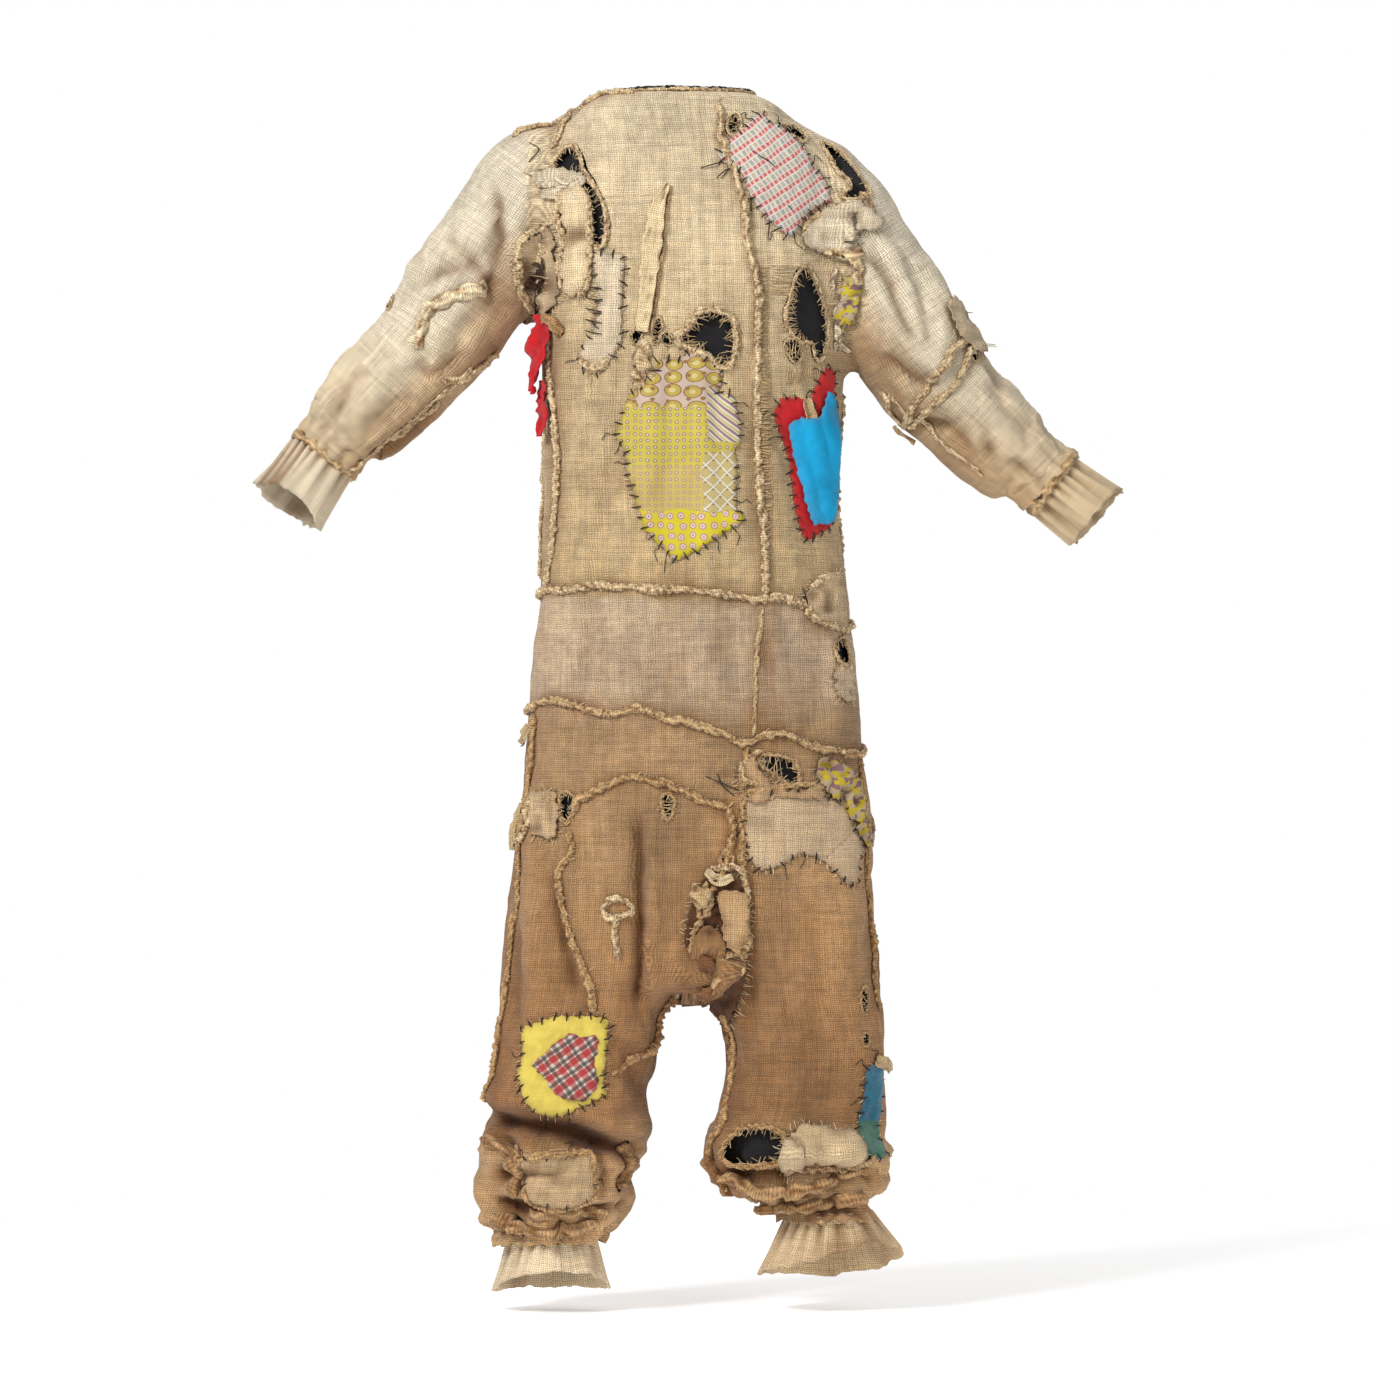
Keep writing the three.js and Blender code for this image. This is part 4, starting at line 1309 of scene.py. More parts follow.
def cut_holes(made):
    """Cuts the torn holes and the back's zip opening, and pulls each cut edge onto its outline."""
    mesh = made.data
    co = coordinates(mesh)
    with edited(mesh) as bm:
        bm.verts.ensure_lookup_table()
        bm.faces.ensure_lookup_table()
        centres = np.array([face.calc_center_median() for face in bm.faces])
        doomed = set()
        snaps = []
        for zone, outline in HOLES.values():
            tube = tube_of(zone)
            line = np.array(on(tube, outline))
            line = curve_through(line, 3, closed=True)
            middle = np.array([np.mean([p[0] for p in outline]), np.mean([p[1] for p in outline])])
            near = np.hypot(centres[:, 0] / MM - middle[0], centres[:, 2] / MM - middle[1]) < 110
            near &= centres[:, 1] / MM < 60
            picked = np.nonzero(near)[0]
            s, v = tube.unrolled(centres[picked])
            hit = picked[inside(line, s, v)]
            doomed.update(int(k) for k in hit)
            snaps.append((tube, line, {vert.index for k in hit for vert in bm.faces[int(k)].verts}))
        slit = (np.abs(centres[:, 0] / MM) < SLIT_HALF) & (centres[:, 1] > BACK_FROM_Y)
        slit &= centres[:, 2] / MM > ZIP_END_Z
        doomed.update(int(k) for k in np.nonzero(slit)[0])
        bmesh.ops.delete(bm, geom=[bm.faces[k] for k in doomed], context="FACES_ONLY")
        for tube, line, members in snaps:
            for k in members:
                vert = bm.verts[k]
                if not vert.link_faces or not vert.is_boundary:
                    continue
                s, v = tube.unrolled(co[k:k + 1])
                spot, away = closest_on(line, np.array([s[0], v[0]]))
                if away < 9:
                    shift = np.array(tube.point(*spot)) - np.array(tube.point(s[0], v[0]))
                    vert.co += Vector(shift * MM)
        for vert in bm.verts:
            if vert.is_boundary and vert.link_faces and vert.co.y > BACK_FROM_Y and abs(vert.co.x) < 0.012:
                if vert.co.z / MM > ZIP_END_Z + 4 and vert.co.z < -0.004:
                    vert.co.x = math.copysign(SLIT_HALF * MM, vert.co.x)
        loose = [vert for vert in bm.verts if not vert.link_faces]
        bmesh.ops.delete(bm, geom=loose, context="VERTS")


LINING_DEPTH = 8.0


def lining_of(made, places, hollow):
    """The black lining: the garment's own shape, a little further in."""
    inner = made.copy()
    inner.data = made.data.copy()
    inner.name = "lining"
    inner.data.name = "lining"
    SCENE.collection.objects.link(inner)
    mesh = inner.data
    set_coordinates(mesh, places)
    pairs = edge_pairs(mesh)
    depth = LINING_DEPTH + 1.25 * np.clip(-hollow, 0, 30)
    places = places - vertex_normals(mesh) * depth[:, None] * MM
    set_coordinates(mesh, relax(places, pairs, 4))
    return inner


# ---- Patches ----
def filled_outline(line, spacing, seed):
    """Triangles that fill a closed line of s and v points, with points inside it this far apart."""
    draw = random.Random(seed)
    low, high = line.min(axis=0), line.max(axis=0)
    columns = np.arange(low[0], high[0], spacing)
    rows = np.arange(low[1], high[1], spacing)
    spots = np.array([
        (a + spacing * 0.25 * draw.uniform(-1, 1), b + spacing * 0.25 * draw.uniform(-1, 1))
        for a in columns for b in rows
    ])
    spots = spots[inside(line, spots[:, 0], spots[:, 1])]
    spots = [p for p in spots if closest_on(line, p)[1] > spacing * 0.55]
    points = [Vector(p) for p in line] + [Vector(p) for p in spots]
    ring = list(range(len(line)))
    vertices, _, faces, _, _, _ = geometry.delaunay_2d_cdt(points, [], [ring], 1, 1e-5)
    return np.array([tuple(p) for p in vertices]), faces


PULLED = 11.0  # between one place where a stitch draws a patch's edge in and the next
EDGE_STEP = 3.2


def patch(name, tube, points, look, colour, lift=2.0, seed=1, crumple=0.0, grain=14.0, curl=0.0, spacing=4.2,
          torn=1.0, swell=1.5):
    """A piece of cloth laid on the garment, with its edge drawn in at each stitch and soft between them."""
    line = curve_through(on(tube, points), EDGE_STEP, closed=True)
    along = np.arange(len(line)) * EDGE_STEP
    inward = np.roll(line, -1, axis=0) - np.roll(line, 1, axis=0)
    inward = np.stack([inward[:, 1], -inward[:, 0]], axis=1)
    inward /= np.linalg.norm(inward, axis=1, keepdims=True).clip(1e-9)
    ragged = 0.9 * np.sin(along * 2 * math.pi / PULLED)
    ragged += 1.3 * torn * noise_at(np.stack([along, along, along], 1), 9, seed)
    line = line + inward * ragged[:, None]
    flat, faces = filled_outline(line, spacing, seed)
    vertices, tints = [], []
    base = linear(colour)
    for s, v in flat:
        _, edge = closest_on(line, np.array([s, v]))
        sample = np.array([[s, v, seed * 9.0]])
        puff = 1 - math.exp(-edge / 7)
        lump = noise_at(sample, 26, seed)[0] * 1.4 + noise_at(sample, 9, seed + 1)[0] * 0.7
        fold = crumple * (1 - 2.6 * abs(noise_at(sample, grain, seed + 2)[0])) * (0.35 + 0.65 * puff)
        turned = curl * math.exp(-edge / 4)
        height = lift + puff * (swell + lump) + fold + turned
        height += 0.5 * math.sin(s * 0.57 + v * 0.4) * math.exp(-edge / 5)
        place, _ = land(tube, s, v, max(height, 0.8))
        vertices.append(place)
        # Painted shade: lumps are lighter and fold valleys browner; the brown at the edge is partly dirt and
        # partly painted shade where the patch meets the garment, and the noise term is dirt.
        shade = 1 + 0.07 * lump + 0.05 * fold
        dirt_and_shade = 0.28 * math.exp(-edge / 3.5) + 0.12 * max(0.0, noise_at(sample, 40, seed + 4)[0])
        dirt_and_shade += min(0.8, max(0.0, -fold * 0.16))
        tints.append(base * shade * (1 - dirt_and_shade) + linear(BROWN) * dirt_and_shade * 0.8)
    cloth = Cloth()
    cloth.add(vertices, faces, tints, flat * MM)
    made = cloth.made(name, look)
    with edited(made.data) as bm:
        bmesh.ops.recalc_face_normals(bm, faces=bm.faces)
        some = list(bm.faces)[:200]
        facing = sum(face.normal.dot(tube.outward(*flat[face.verts[0].index])) for face in some)
        if facing < 0:
            bmesh.ops.reverse_faces(bm, faces=bm.faces)
    return made


# How far a whip stitch reaches out from the edge and back over it, how high it lies there, and its thread
STITCH_OUT, STITCH_BACK, STITCH_LIFT, STITCH_COLOUR = 5.5, 5.0, 3.2, (24, 22, 22)
MISSED, LOOSE = 0.08, 0.16  # how many of the stitches are missing, and how many have a loose end


def whip_stitches(cloth, tube, points, pitch, seed):
    """Black whip stitches over a patch's edge, uneven as sewn by hand, some with loose ends."""
    draw = random.Random(seed)
    line = curve_through(on(tube, points), pitch, closed=True)
    count = len(line)
    lifts = [-0.6, 1.6, STITCH_LIFT + 1.6, STITCH_LIFT - 0.6]
    black = linear(STITCH_COLOUR)
    for k, spot in enumerate(line):
        if draw.random() < MISSED:
            continue
        ahead = line[(k + 1) % count] - line[k - 1]
        ahead = ahead / max(np.linalg.norm(ahead), 1e-9)
        outward = np.array([-ahead[1], ahead[0]])
        if inside(line, np.array([spot[0] + outward[0] * 2]), np.array([spot[1] + outward[1] * 2]))[0]:
            outward = -outward
        slant = ahead * draw.uniform(-4, 4)
        reach = STITCH_OUT * draw.uniform(0.7, 1.5)
        start = spot + outward * reach + slant
        end = spot - outward * STITCH_BACK * draw.uniform(0.7, 1.3) - slant * 0.5
        points_on = [start, spot + outward * reach * 0.45 + slant * 0.5, spot, end]
        thread_on(cloth, tube, points_on, lifts, 0.95, black)
        if draw.random() < LOOSE:
            tail = [start, start + outward * 5 + ahead * draw.uniform(-5, 5),
                    start + outward * draw.uniform(7, 14) + ahead * draw.uniform(-9, 9) + np.array([0, -4])]
            thread_on(cloth, tube, tail, [0.4, 2.4, 1.2], 0.6, black)


def frayed(cloth, tube, points, pitch=4.0, length=9, seed=1, colour=GOLD, inward=1.0, open_line=False,
           spread=0.8):
    """Short loose threads along a torn edge."""
    draw = random.Random(seed)
    line = curve_through(on(tube, points), pitch, closed=not open_line)
    count = len(line)
    for k, spot in enumerate(line):
        ahead = line[min(k + 1, count - 1)] - line[max(k - 1, 0)]
        if not open_line:
            ahead = line[(k + 1) % count] - line[k - 1]
        ahead = ahead / max(np.linalg.norm(ahead), 1e-9)
        normal = np.array([-ahead[1], ahead[0]])
        if not open_line:
            probe = spot + normal * 2
            sign = 1 if inside(line, probe[:1], probe[1:])[0] else -1
            normal = normal * sign * inward
        reach = length * draw.uniform(0.35, 1.3)
        aim = normal + ahead * draw.uniform(-spread, spread)
        bend = np.array([draw.uniform(-2, 2), draw.uniform(-3, 0.5)])
        path = [spot - normal * 2, spot + aim * reach * 0.5 + bend * 0.5, spot + aim * reach + bend]
        shade = linear(np.array(colour) * draw.uniform(0.72, 1.08))
        thread_on(cloth, tube, path, [0.6, draw.uniform(0.8, 3), draw.uniform(0.2, 4)],
                  draw.uniform(0.4, 0.65), shade)


LADDER_PITCH = 3.4


def ladder(cloth, tube, x, z, wide, high, upright, seed):
    """Threads left across a place where the crossing threads have gone."""
    draw = random.Random(seed)
    for k in range(int(high / LADDER_PITCH)):
        down = -high / 2 + k * LADDER_PITCH + draw.uniform(-0.6, 0.6)
        reach = wide / 2 * draw.uniform(0.7, 1.1)
        row = [(-reach, down), (-reach / 3, down + draw.uniform(-2, 1)),
               (reach / 3, down + draw.uniform(-2, 1)),
               (reach, down + draw.uniform(-1.5, 1.5))]
        if upright:
            row = [(b, a) for a, b in row]
        path = on(tube, [(x + a, z + b) for a, b in row])
        shade = linear(np.array(GOLD) * draw.uniform(0.8, 1.08))
        lifts = [0, draw.uniform(0.8, 2.4), draw.uniform(0.8, 2.4), 0]
        thread_on(cloth, tube, path, lifts, draw.uniform(0.5, 0.75), shade)


# ---- Strips and rags ----
STRIP_STEP = 3.0
STRIP_COLUMNS = 9
ROLLED = 2.0  # how high a strip's raw edges roll over


def strip(name, tube, spine, widths, lifts, look, colour, seed=1, crumple=2.0):
    """A narrow piece of crumpled cloth along a spine on the garment, with its raw edges rolled over."""
    places, normals, side = landed(tube, curve_through(on(tube, spine), STRIP_STEP))
    count = len(places)
    t = np.linspace(0, 1, count)
    wide = np.interp(t, np.linspace(0, 1, len(widths)), widths)
    lift = np.interp(t, np.linspace(0, 1, len(lifts)), lifts)
    along = np.arange(count) * STRIP_STEP
    columns, tints = [], []
    base, brown = linear(colour), linear(BROWN)
    # For cloth other than burlap, the painted shade colour is a darker copy of its own colour.
    if look.name != "burlap":
        brown = base * 0.35
    for u in np.linspace(-1, 1, STRIP_COLUMNS):
        sample = np.stack([along, np.full(count, u * 14.0), np.full(count, seed * 7.0)], axis=1)
        lump = np.abs(noise_at(sample, 11, seed))
        edge = noise_at(np.stack([along, along * 0 + u * 3, along * 0], axis=1), 7, seed + 5)
        reach = u * wide / 2 * (1 + 0.16 * edge * abs(u))
        height = lift + crumple * (0.8 - 1.8 * lump) + ROLLED * abs(u) ** 4 + 1.2
        height = np.maximum(height, 0.8)
        columns.append(places + side * (reach * MM)[:, None] + normals * (height * MM)[:, None])
        # Painted shade: the crumple's hollows are mixed toward the shade colour and the rolled edges toward
        # the full colour.
        shade = smooth(0.86 - 0.55 * lump + 0.25 * abs(u))[:, None]
        tints.append(brown * (1 - shade) + base * shade)
    surface = np.stack(columns, axis=1)
    steps = np.linalg.norm(np.diff(surface, axis=1), axis=2)
    out = np.concatenate([np.zeros((count, 1)), np.cumsum(steps, axis=1)], axis=1)
    down = np.linalg.norm(np.diff(surface, axis=0), axis=2).mean(axis=1)
    down = np.tile(np.concatenate([[0], np.cumsum(down)])[:, None], (1, STRIP_COLUMNS))
    weave = np.stack([out - out[:, -1:] / 2, down], axis=2).reshape(-1, 2)
    cloth = Cloth()
    cloth.add(by_row(columns), grid_faces(count, STRIP_COLUMNS), by_row(tints), weave)
    return cloth.made(name, look)


def knot(cloth, tube, x, z, size, seed=1, colour=PALE, tall=1.0):
    """A crumpled lump of cloth, as where a rag is tied."""
    s, v = tube.locate(x, z)
    centre, normal = land(tube, s, v, size * 0.45)
    rows, columns = 12, 16
    across = np.cross(normal, [0, 0, 1.0])
    across /= np.linalg.norm(across)
    up = -np.cross(across, normal)
    vertices, tints, weave = [], [], []
    for r in range(rows):
        lat = math.pi * (r + 0.5) / rows
        for c in range(columns):
            lon = 2 * math.pi * c / columns
            way = np.array([math.sin(lat) * math.cos(lon), math.cos(lat) * tall,
                            math.sin(lat) * math.sin(lon)])
            lump = noise_at(way[None] * 2.0, 1, seed)[0]
            pleat = math.sin(lon * 3 + lat * 5 + seed)
            scale = size * (1 + 0.45 * lump + 0.12 * pleat)
            vertices.append(centre + (across * way[0] + up * way[1] + normal * way[2] * 0.7) * scale * MM)
            # Painted shade: the lump's sunken parts are browner, its swellings paler.
            shade = float(smooth(0.6 + 0.8 * lump + 0.25 * pleat))
            tints.append(linear(BROWN) * (1 - shade) + linear(colour) * shade)
            weave.append((lon * size * MM, lat * size * MM))
    faces = grid_faces(rows, columns, True)
    faces.append(tuple(range(columns)))
    faces.append(tuple((rows - 1) * columns + c for c in reversed(range(columns))))
    cloth.add(vertices, [tuple(reversed(face)) for face in faces], tints, weave)


class Front:
    """The whole garment in X and Z, as seen from the front; past a side's edge X goes on round the side."""

    @staticmethod
    def pick(x, z):
        for hand, arm in ARMS.items():
            if arm["side"] * x > 180 and z > SLEEVE_BOTTOM_Z:
                place = np.array([[x * MM, MID_Y * MM - 0.05, z * MM]])
                where = along_arm(place, hand)
                if min(abs(where["upper_side"][0]), abs(where["lower_side"][0])) < 80:
                    return SLEEVE[hand]
        if z < LEGS_Z:
            return LEG["right" if x < LEGS_MEET_X else "left"]
        return BODY

    def locate(self, x, z):
        return x, z

    def point(self, x, z):
        tube = self.pick(x, z)
        return tube.point(*tube.locate(x, z))

    def outward(self, x, z):
        tube = self.pick(x, z)
        return tube.outward(*tube.locate(x, z))


FRONT = Front()


# ---- Materials ----
class Look:
    """A material's node tree, made by short calls. Values are numbers, colours or other nodes' outputs."""

    def __init__(self, name, roughness=0.9, sheen=0.0, metallic=0.0):
        self.material = bpy.data.materials.new(name)
        self.material.use_nodes = True
        self.tree = self.material.node_tree
        self.shader = self.tree.nodes["Principled BSDF"]
        self.shader.inputs["Roughness"].default_value = roughness
        self.shader.inputs["Metallic"].default_value = metallic
        self.shader.inputs["Specular IOR Level"].default_value = 0.25
        self.shader.inputs["Sheen Weight"].default_value = sheen
        self.shader.inputs["Sheen Roughness"].default_value = 0.5

    def put(self, socket, value):
        if isinstance(value, bpy.types.NodeSocket):
            self.tree.links.new(value, socket)
        else:
            socket.default_value = value

    def math(self, operation, a, b=0.0, c=0.0):
        made = self.tree.nodes.new("ShaderNodeMath")
        made.operation = operation
        for socket, value in zip(made.inputs, (a, b, c)):
            self.put(socket, value)
        return made.outputs[0]

    def mix(self, share, a, b, blend="MIX"):
        made = self.tree.nodes.new("ShaderNodeMix")
        made.data_type = "RGBA"
        made.blend_type = blend
        self.put(made.inputs[0], share)
        self.put(made.inputs[6], a)
        self.put(made.inputs[7], b)
        return made.outputs[2]

    def tint(self):
        made = self.tree.nodes.new("ShaderNodeAttribute")
        made.attribute_name = "tint"
        return made.outputs["Color"]

    def weave_place(self):
        """Where a point is on the weave, across and along, in millimetres."""
        made = self.tree.nodes.new("ShaderNodeUVMap")
        made.uv_map = "weave"
        split = self.tree.nodes.new("ShaderNodeSeparateXYZ")
        self.put(split.inputs[0], made.outputs[0])
        return tuple(self.math("MULTIPLY", place, 1 / MM) for place in split.outputs[:2])

    def joined(self, u, v, w=0.0):
        made = self.tree.nodes.new("ShaderNodeCombineXYZ")
        for socket, value in zip(made.inputs, (u, v, w)):
            self.put(socket, value)
        return made.outputs[0]

    def noise(self, u, v, scale=1.0, detail=2.0):
        made = self.tree.nodes.new("ShaderNodeTexNoise")
        made.inputs["Scale"].default_value = scale
        made.inputs["Detail"].default_value = detail
        self.put(made.inputs["Vector"], self.joined(u, v))
        return made.outputs["Fac"]

    def cells(self, u, v, size, stretch=1.0, jitter=0.15):
        """Distance to the middle of the nearest cell, in cells."""
        made = self.tree.nodes.new("ShaderNodeTexVoronoi")
        made.voronoi_dimensions = "2D"
        made.inputs["Scale"].default_value = 1.0
        made.inputs["Randomness"].default_value = jitter
        across = self.math("DIVIDE", u, size * stretch)
        self.put(made.inputs["Vector"], self.joined(across, self.math("DIVIDE", v, size)))
        return made.outputs["Distance"]

    def bump(self, height, strength, distance):
        made = self.tree.nodes.new("ShaderNodeBump")
        made.inputs["Strength"].default_value = strength
        made.inputs["Distance"].default_value = distance
        self.put(made.inputs["Height"], height)
        self.put(self.shader.inputs["Normal"], made.outputs[0])

    def turned(self, u, v, degrees):
        c, s = math.cos(math.radians(degrees)), math.sin(math.radians(degrees))
        a = self.math("ADD", self.math("MULTIPLY", u, c), self.math("MULTIPLY", v, s))
        b = self.math("SUBTRACT", self.math("MULTIPLY", v, c), self.math("MULTIPLY", u, s))
        return a, b

    def repeats(self, value, period, low, high):
        """1 where a value lies from low to high of each period."""
        part = self.math("FRACT", self.math("DIVIDE", value, period))
        return self.math("MULTIPLY", self.math("GREATER_THAN", part, low), self.math("LESS_THAN", part, high))

    def woven(self, pitch, depth, contrast, slub):
        """Plain weave of this pitch in millimetres: returns its brightness, and sets the bump."""
        u, v = self.weave_place()
        wobble = self.math("MULTIPLY", self.noise(u, v, 0.09, 1.0), pitch * 1.6)
        turn_u = self.math("MULTIPLY", self.math("ADD", u, wobble), math.pi / pitch)
        turn_v = self.math("MULTIPLY", self.math("ADD", v, wobble), math.pi / pitch)
        sin_u, sin_v = self.math("SINE", turn_u), self.math("SINE", turn_v)
        over = self.math("MULTIPLY", sin_u, sin_v)
        warp, weft = self.math("ABSOLUTE", sin_u), self.math("ABSOLUTE", sin_v)
        warp = self.math("MULTIPLY", warp, self.math("MULTIPLY_ADD", over, 0.35, 0.65))
        weft = self.math("MULTIPLY", weft, self.math("MULTIPLY_ADD", over, -0.35, 0.65))
        threads = self.math("MAXIMUM", warp, weft)
        upright = self.noise(self.math("DIVIDE", u, pitch), self.math("DIVIDE", v, pitch * 26), 1.0, 1.0)
        level = self.noise(self.math("DIVIDE", u, pitch * 26), self.math("DIVIDE", v, pitch), 1.0, 1.0)
        slubs = self.math("SUBTRACT", self.math("ADD", upright, level), 1.0)
        height = self.math("MULTIPLY_ADD", slubs, 0.9, threads)
        self.bump(height, 0.8, depth * MM)
        light = self.math("MULTIPLY_ADD", threads, contrast, 1.0 - contrast * 0.72)
        return self.math("MULTIPLY_ADD", slubs, slub, light)

    def finished(self, colour, brightness):
        shade = self.joined(brightness, brightness, brightness)
        self.put(self.shader.inputs["Base Color"], self.mix(1.0, colour, shade, "MULTIPLY"))
        return self.material


def rgba(colour):
    return (*[float(c) for c in linear(colour)], 1.0)


def burlap_look():
    look = Look("burlap", 0.93, sheen=0.12)
    light = look.woven(2.5, 1.2, 0.95, 0.40)
    u, v = look.weave_place()
    blotch = look.noise(u, v, 0.045, 3.0)
    fleck = look.noise(u, v, 0.42, 3.0)
    warm = look.mix(1.0, look.tint(), (0.94, 0.88, 0.80, 1), "MULTIPLY")
    colour = look.mix(look.math("MULTIPLY", blotch, 0.6), look.tint(), warm)
    light = look.math("MULTIPLY", light, look.math("MULTIPLY_ADD", fleck, 0.80, 0.66))
    upright = look.noise(look.math("DIVIDE", u, 4.6), look.math("DIVIDE", v, 80.0), 1.0, 1.0)
    level = look.noise(look.math("DIVIDE", u, 80.0), look.math("DIVIDE", v, 4.6), 1.0, 1.0)
    bundles = look.math("SUBTRACT", look.math("ADD", upright, level), 1.0)
    light = look.math("MULTIPLY_ADD", bundles, 0.34, light)
    return look.finished(colour, light)


def plain_look(name, pitch=0.7, depth=0.2, contrast=0.2, slub=0.15, roughness=0.85, sheen=0.1):
    look = Look(name, roughness, sheen)
    light = look.woven(pitch, depth, contrast, slub)
    u, v = look.weave_place()
    light = look.math("MULTIPLY", light, look.math("MULTIPLY_ADD", look.noise(u, v, 0.12, 3.0), 0.36, 0.82))
    return look.finished(look.tint(), light)


def plaid_look(name, ground, bands, degrees, colour_wash):
    """bands: colour, period, where it starts and ends in the period, and the same for the gaps along it."""
    look = Look(name, 0.88, 0.1)
    light = look.woven(0.8, 0.2, 0.22, 0.2)
    u, v = look.weave_place()
    bend = look.math("MULTIPLY", look.math("SUBTRACT", look.noise(u, v, 0.05, 1.0), 0.5), 5.0)
    a, b = look.turned(look.math("ADD", u, bend), v, degrees)
    colour = rgba(ground)
    for band, way, period, low, high, dash, gap_low, gap_high, share in bands:
        along, over = (a, b) if way == "along" else (b, a)
        mask = look.repeats(over, period, low, high)
        if dash:
            mask = look.math("MULTIPLY", mask, look.repeats(along, dash, gap_low, gap_high))
        colour = look.mix(look.math("MULTIPLY", mask, share), colour, rgba(band))
    colour = look.mix(colour_wash, colour, look.tint(), "MULTIPLY")
    return look.finished(colour, light)


def print_look():
    """Cotton pieced from five small prints: leaves, stripes, spots, a lattice and star flowers."""
    look = Look("print_cotton", 0.85, 0.1)
    light = look.woven(0.7, 0.2, 0.2, 0.15)
    u, v = look.weave_place()
    pink, ochre, brown, mauve = (228, 202, 182), (212, 184, 92), (140, 104, 78), (178, 138, 142)
    yellow, bright, white = (226, 206, 92), (238, 222, 52), (244, 240, 226)

    def below(value, limit):
        return look.math("LESS_THAN", value, limit)

    leaves = look.cells(u, v, 17, 1.45, 0.25)
    top = look.mix(below(leaves, 0.44), rgba(pink), rgba(brown))
    top = look.mix(below(leaves, 0.39), top, rgba(ochre))
    top = look.mix(below(leaves, 0.17), top, rgba((234, 220, 150)))
    small = look.cells(look.math("ADD", u, 9.0), look.math("ADD", v, 7.0), 15, 1.3, 0.3)
    top = look.mix(below(small, 0.14), top, rgba((170, 128, 84)))
    a, _ = look.turned(u, v, 52)
    stripes = look.mix(look.repeats(a, 8, 0.0, 0.36), rgba(white), rgba(mauve))
    stripes = look.mix(look.repeats(a, 8, 0.5, 0.72), stripes, rgba(yellow))
    spots = look.cells(u, v, 7.5, 1.1, 0.2)
    middle = look.mix(below(spots, 0.30), rgba(yellow), rgba((186, 150, 120)))
    middle = look.mix(below(spots, 0.12), middle, rgba(white))
    c, d = look.turned(u, v, 45)
    lines = look.math("MAXIMUM", look.repeats(c, 12, 0.0, 0.15), look.repeats(d, 12, 0.0, 0.15))
    flowers = look.cells(c, d, 12, 1.0, 0.0)
    lattice = look.mix(below(flowers, 0.26), rgba((216, 196, 132)), rgba((186, 140, 84)))
    lattice = look.mix(lines, lattice, rgba(white))
    stars = look.cells(u, v, 12.5, 1.0, 0.3)
    bottom = look.mix(below(stars, 0.36), rgba(bright), rgba((222, 168, 140)))
    bottom = look.mix(below(stars, 0.20), bottom, rgba(white))
    bottom = look.mix(below(stars, 0.10), bottom, rgba(mauve))
    wave = look.math("MULTIPLY", look.math("SUBTRACT", look.noise(u, v, 0.03, 1.0), 0.5), 16.0)
    # Where each print starts and ends down the patch, and where the right-hand ones start across it
    leaves_end, stripes_start, stripes_end = -372.0, -350.0, -412.0
    lattice_start, lattice_end, warm_start, stars_start = -424.0, -492.0, -440.0, -494.0
    right_start = 16.0
    height = look.math("ADD", v, wave)

    def within(low, high):
        return look.math("MULTIPLY", below(height, high), look.math("GREATER_THAN", height, low))

    right = look.math("GREATER_THAN", look.math("ADD", u, wave), right_start)
    colour = look.mix(look.math("GREATER_THAN", height, leaves_end), middle, top)
    striped = look.math("MULTIPLY", right, within(stripes_end, stripes_start))
    colour = look.mix(striped, colour, stripes)
    latticed = look.math("MULTIPLY", right, within(lattice_end, lattice_start))
    colour = look.mix(latticed, colour, lattice)
    lower = look.math("MULTIPLY", below(height, warm_start), below(u, right_start))
    colour = look.mix(look.math("MULTIPLY", lower, 0.35), colour, rgba((214, 176, 140)))
    colour = look.mix(below(height, stars_start), colour, bottom)
    colour = look.mix(0.8, colour, look.tint(), "MULTIPLY")
    return look.finished(colour, light)


def scrap_look():
    look = Look("scrap", 0.85, 0.1)
    light = look.woven(0.8, 0.2, 0.25, 0.2)
    u, v = look.weave_place()
    blots = look.noise(u, v, 0.09, 1.0)
    colour = look.mix(look.math("GREATER_THAN", blots, 0.50), rgba((228, 208, 62)), rgba((214, 196, 168)))
    colour = look.mix(look.math("GREATER_THAN", look.noise(v, u, 0.11, 1.0), 0.56), colour,
                      rgba((158, 124, 134)))
    colour = look.mix(0.75, colour, look.tint(), "MULTIPLY")
    return look.finished(colour, light)


def teal_look():
    look = Look("teal_felt", 0.97, 0.35)
    light = look.woven(1.6, 0.7, 0.35, 0.5)
    u, v = look.weave_place()
    green = look.math("MULTIPLY", look.math("LESS_THAN", v, -1205.0), 0.75)
    colour = look.mix(green, look.tint(), rgba((58, 112, 62)))
    fuzz = look.noise(u, v, 0.5, 4.0)
    light = look.math("MULTIPLY", light, look.math("MULTIPLY_ADD", fuzz, 0.9, 0.55))
    return look.finished(colour, light)


def metal_look(name, colour, roughness):
    look = Look(name, roughness, metallic=1.0)
    where = look.tree.nodes.new("ShaderNodeTexCoord")
    scratch = look.tree.nodes.new("ShaderNodeTexNoise")
    scratch.inputs["Scale"].default_value = 900.0
    look.put(scratch.inputs["Vector"], where.outputs["Object"])
    shade = look.math("MULTIPLY_ADD", scratch.outputs["Fac"], 0.5, 0.75)
    look.bump(scratch.outputs["Fac"], 0.3, 0.2 * MM)
    return look.finished(rgba(colour), shade)


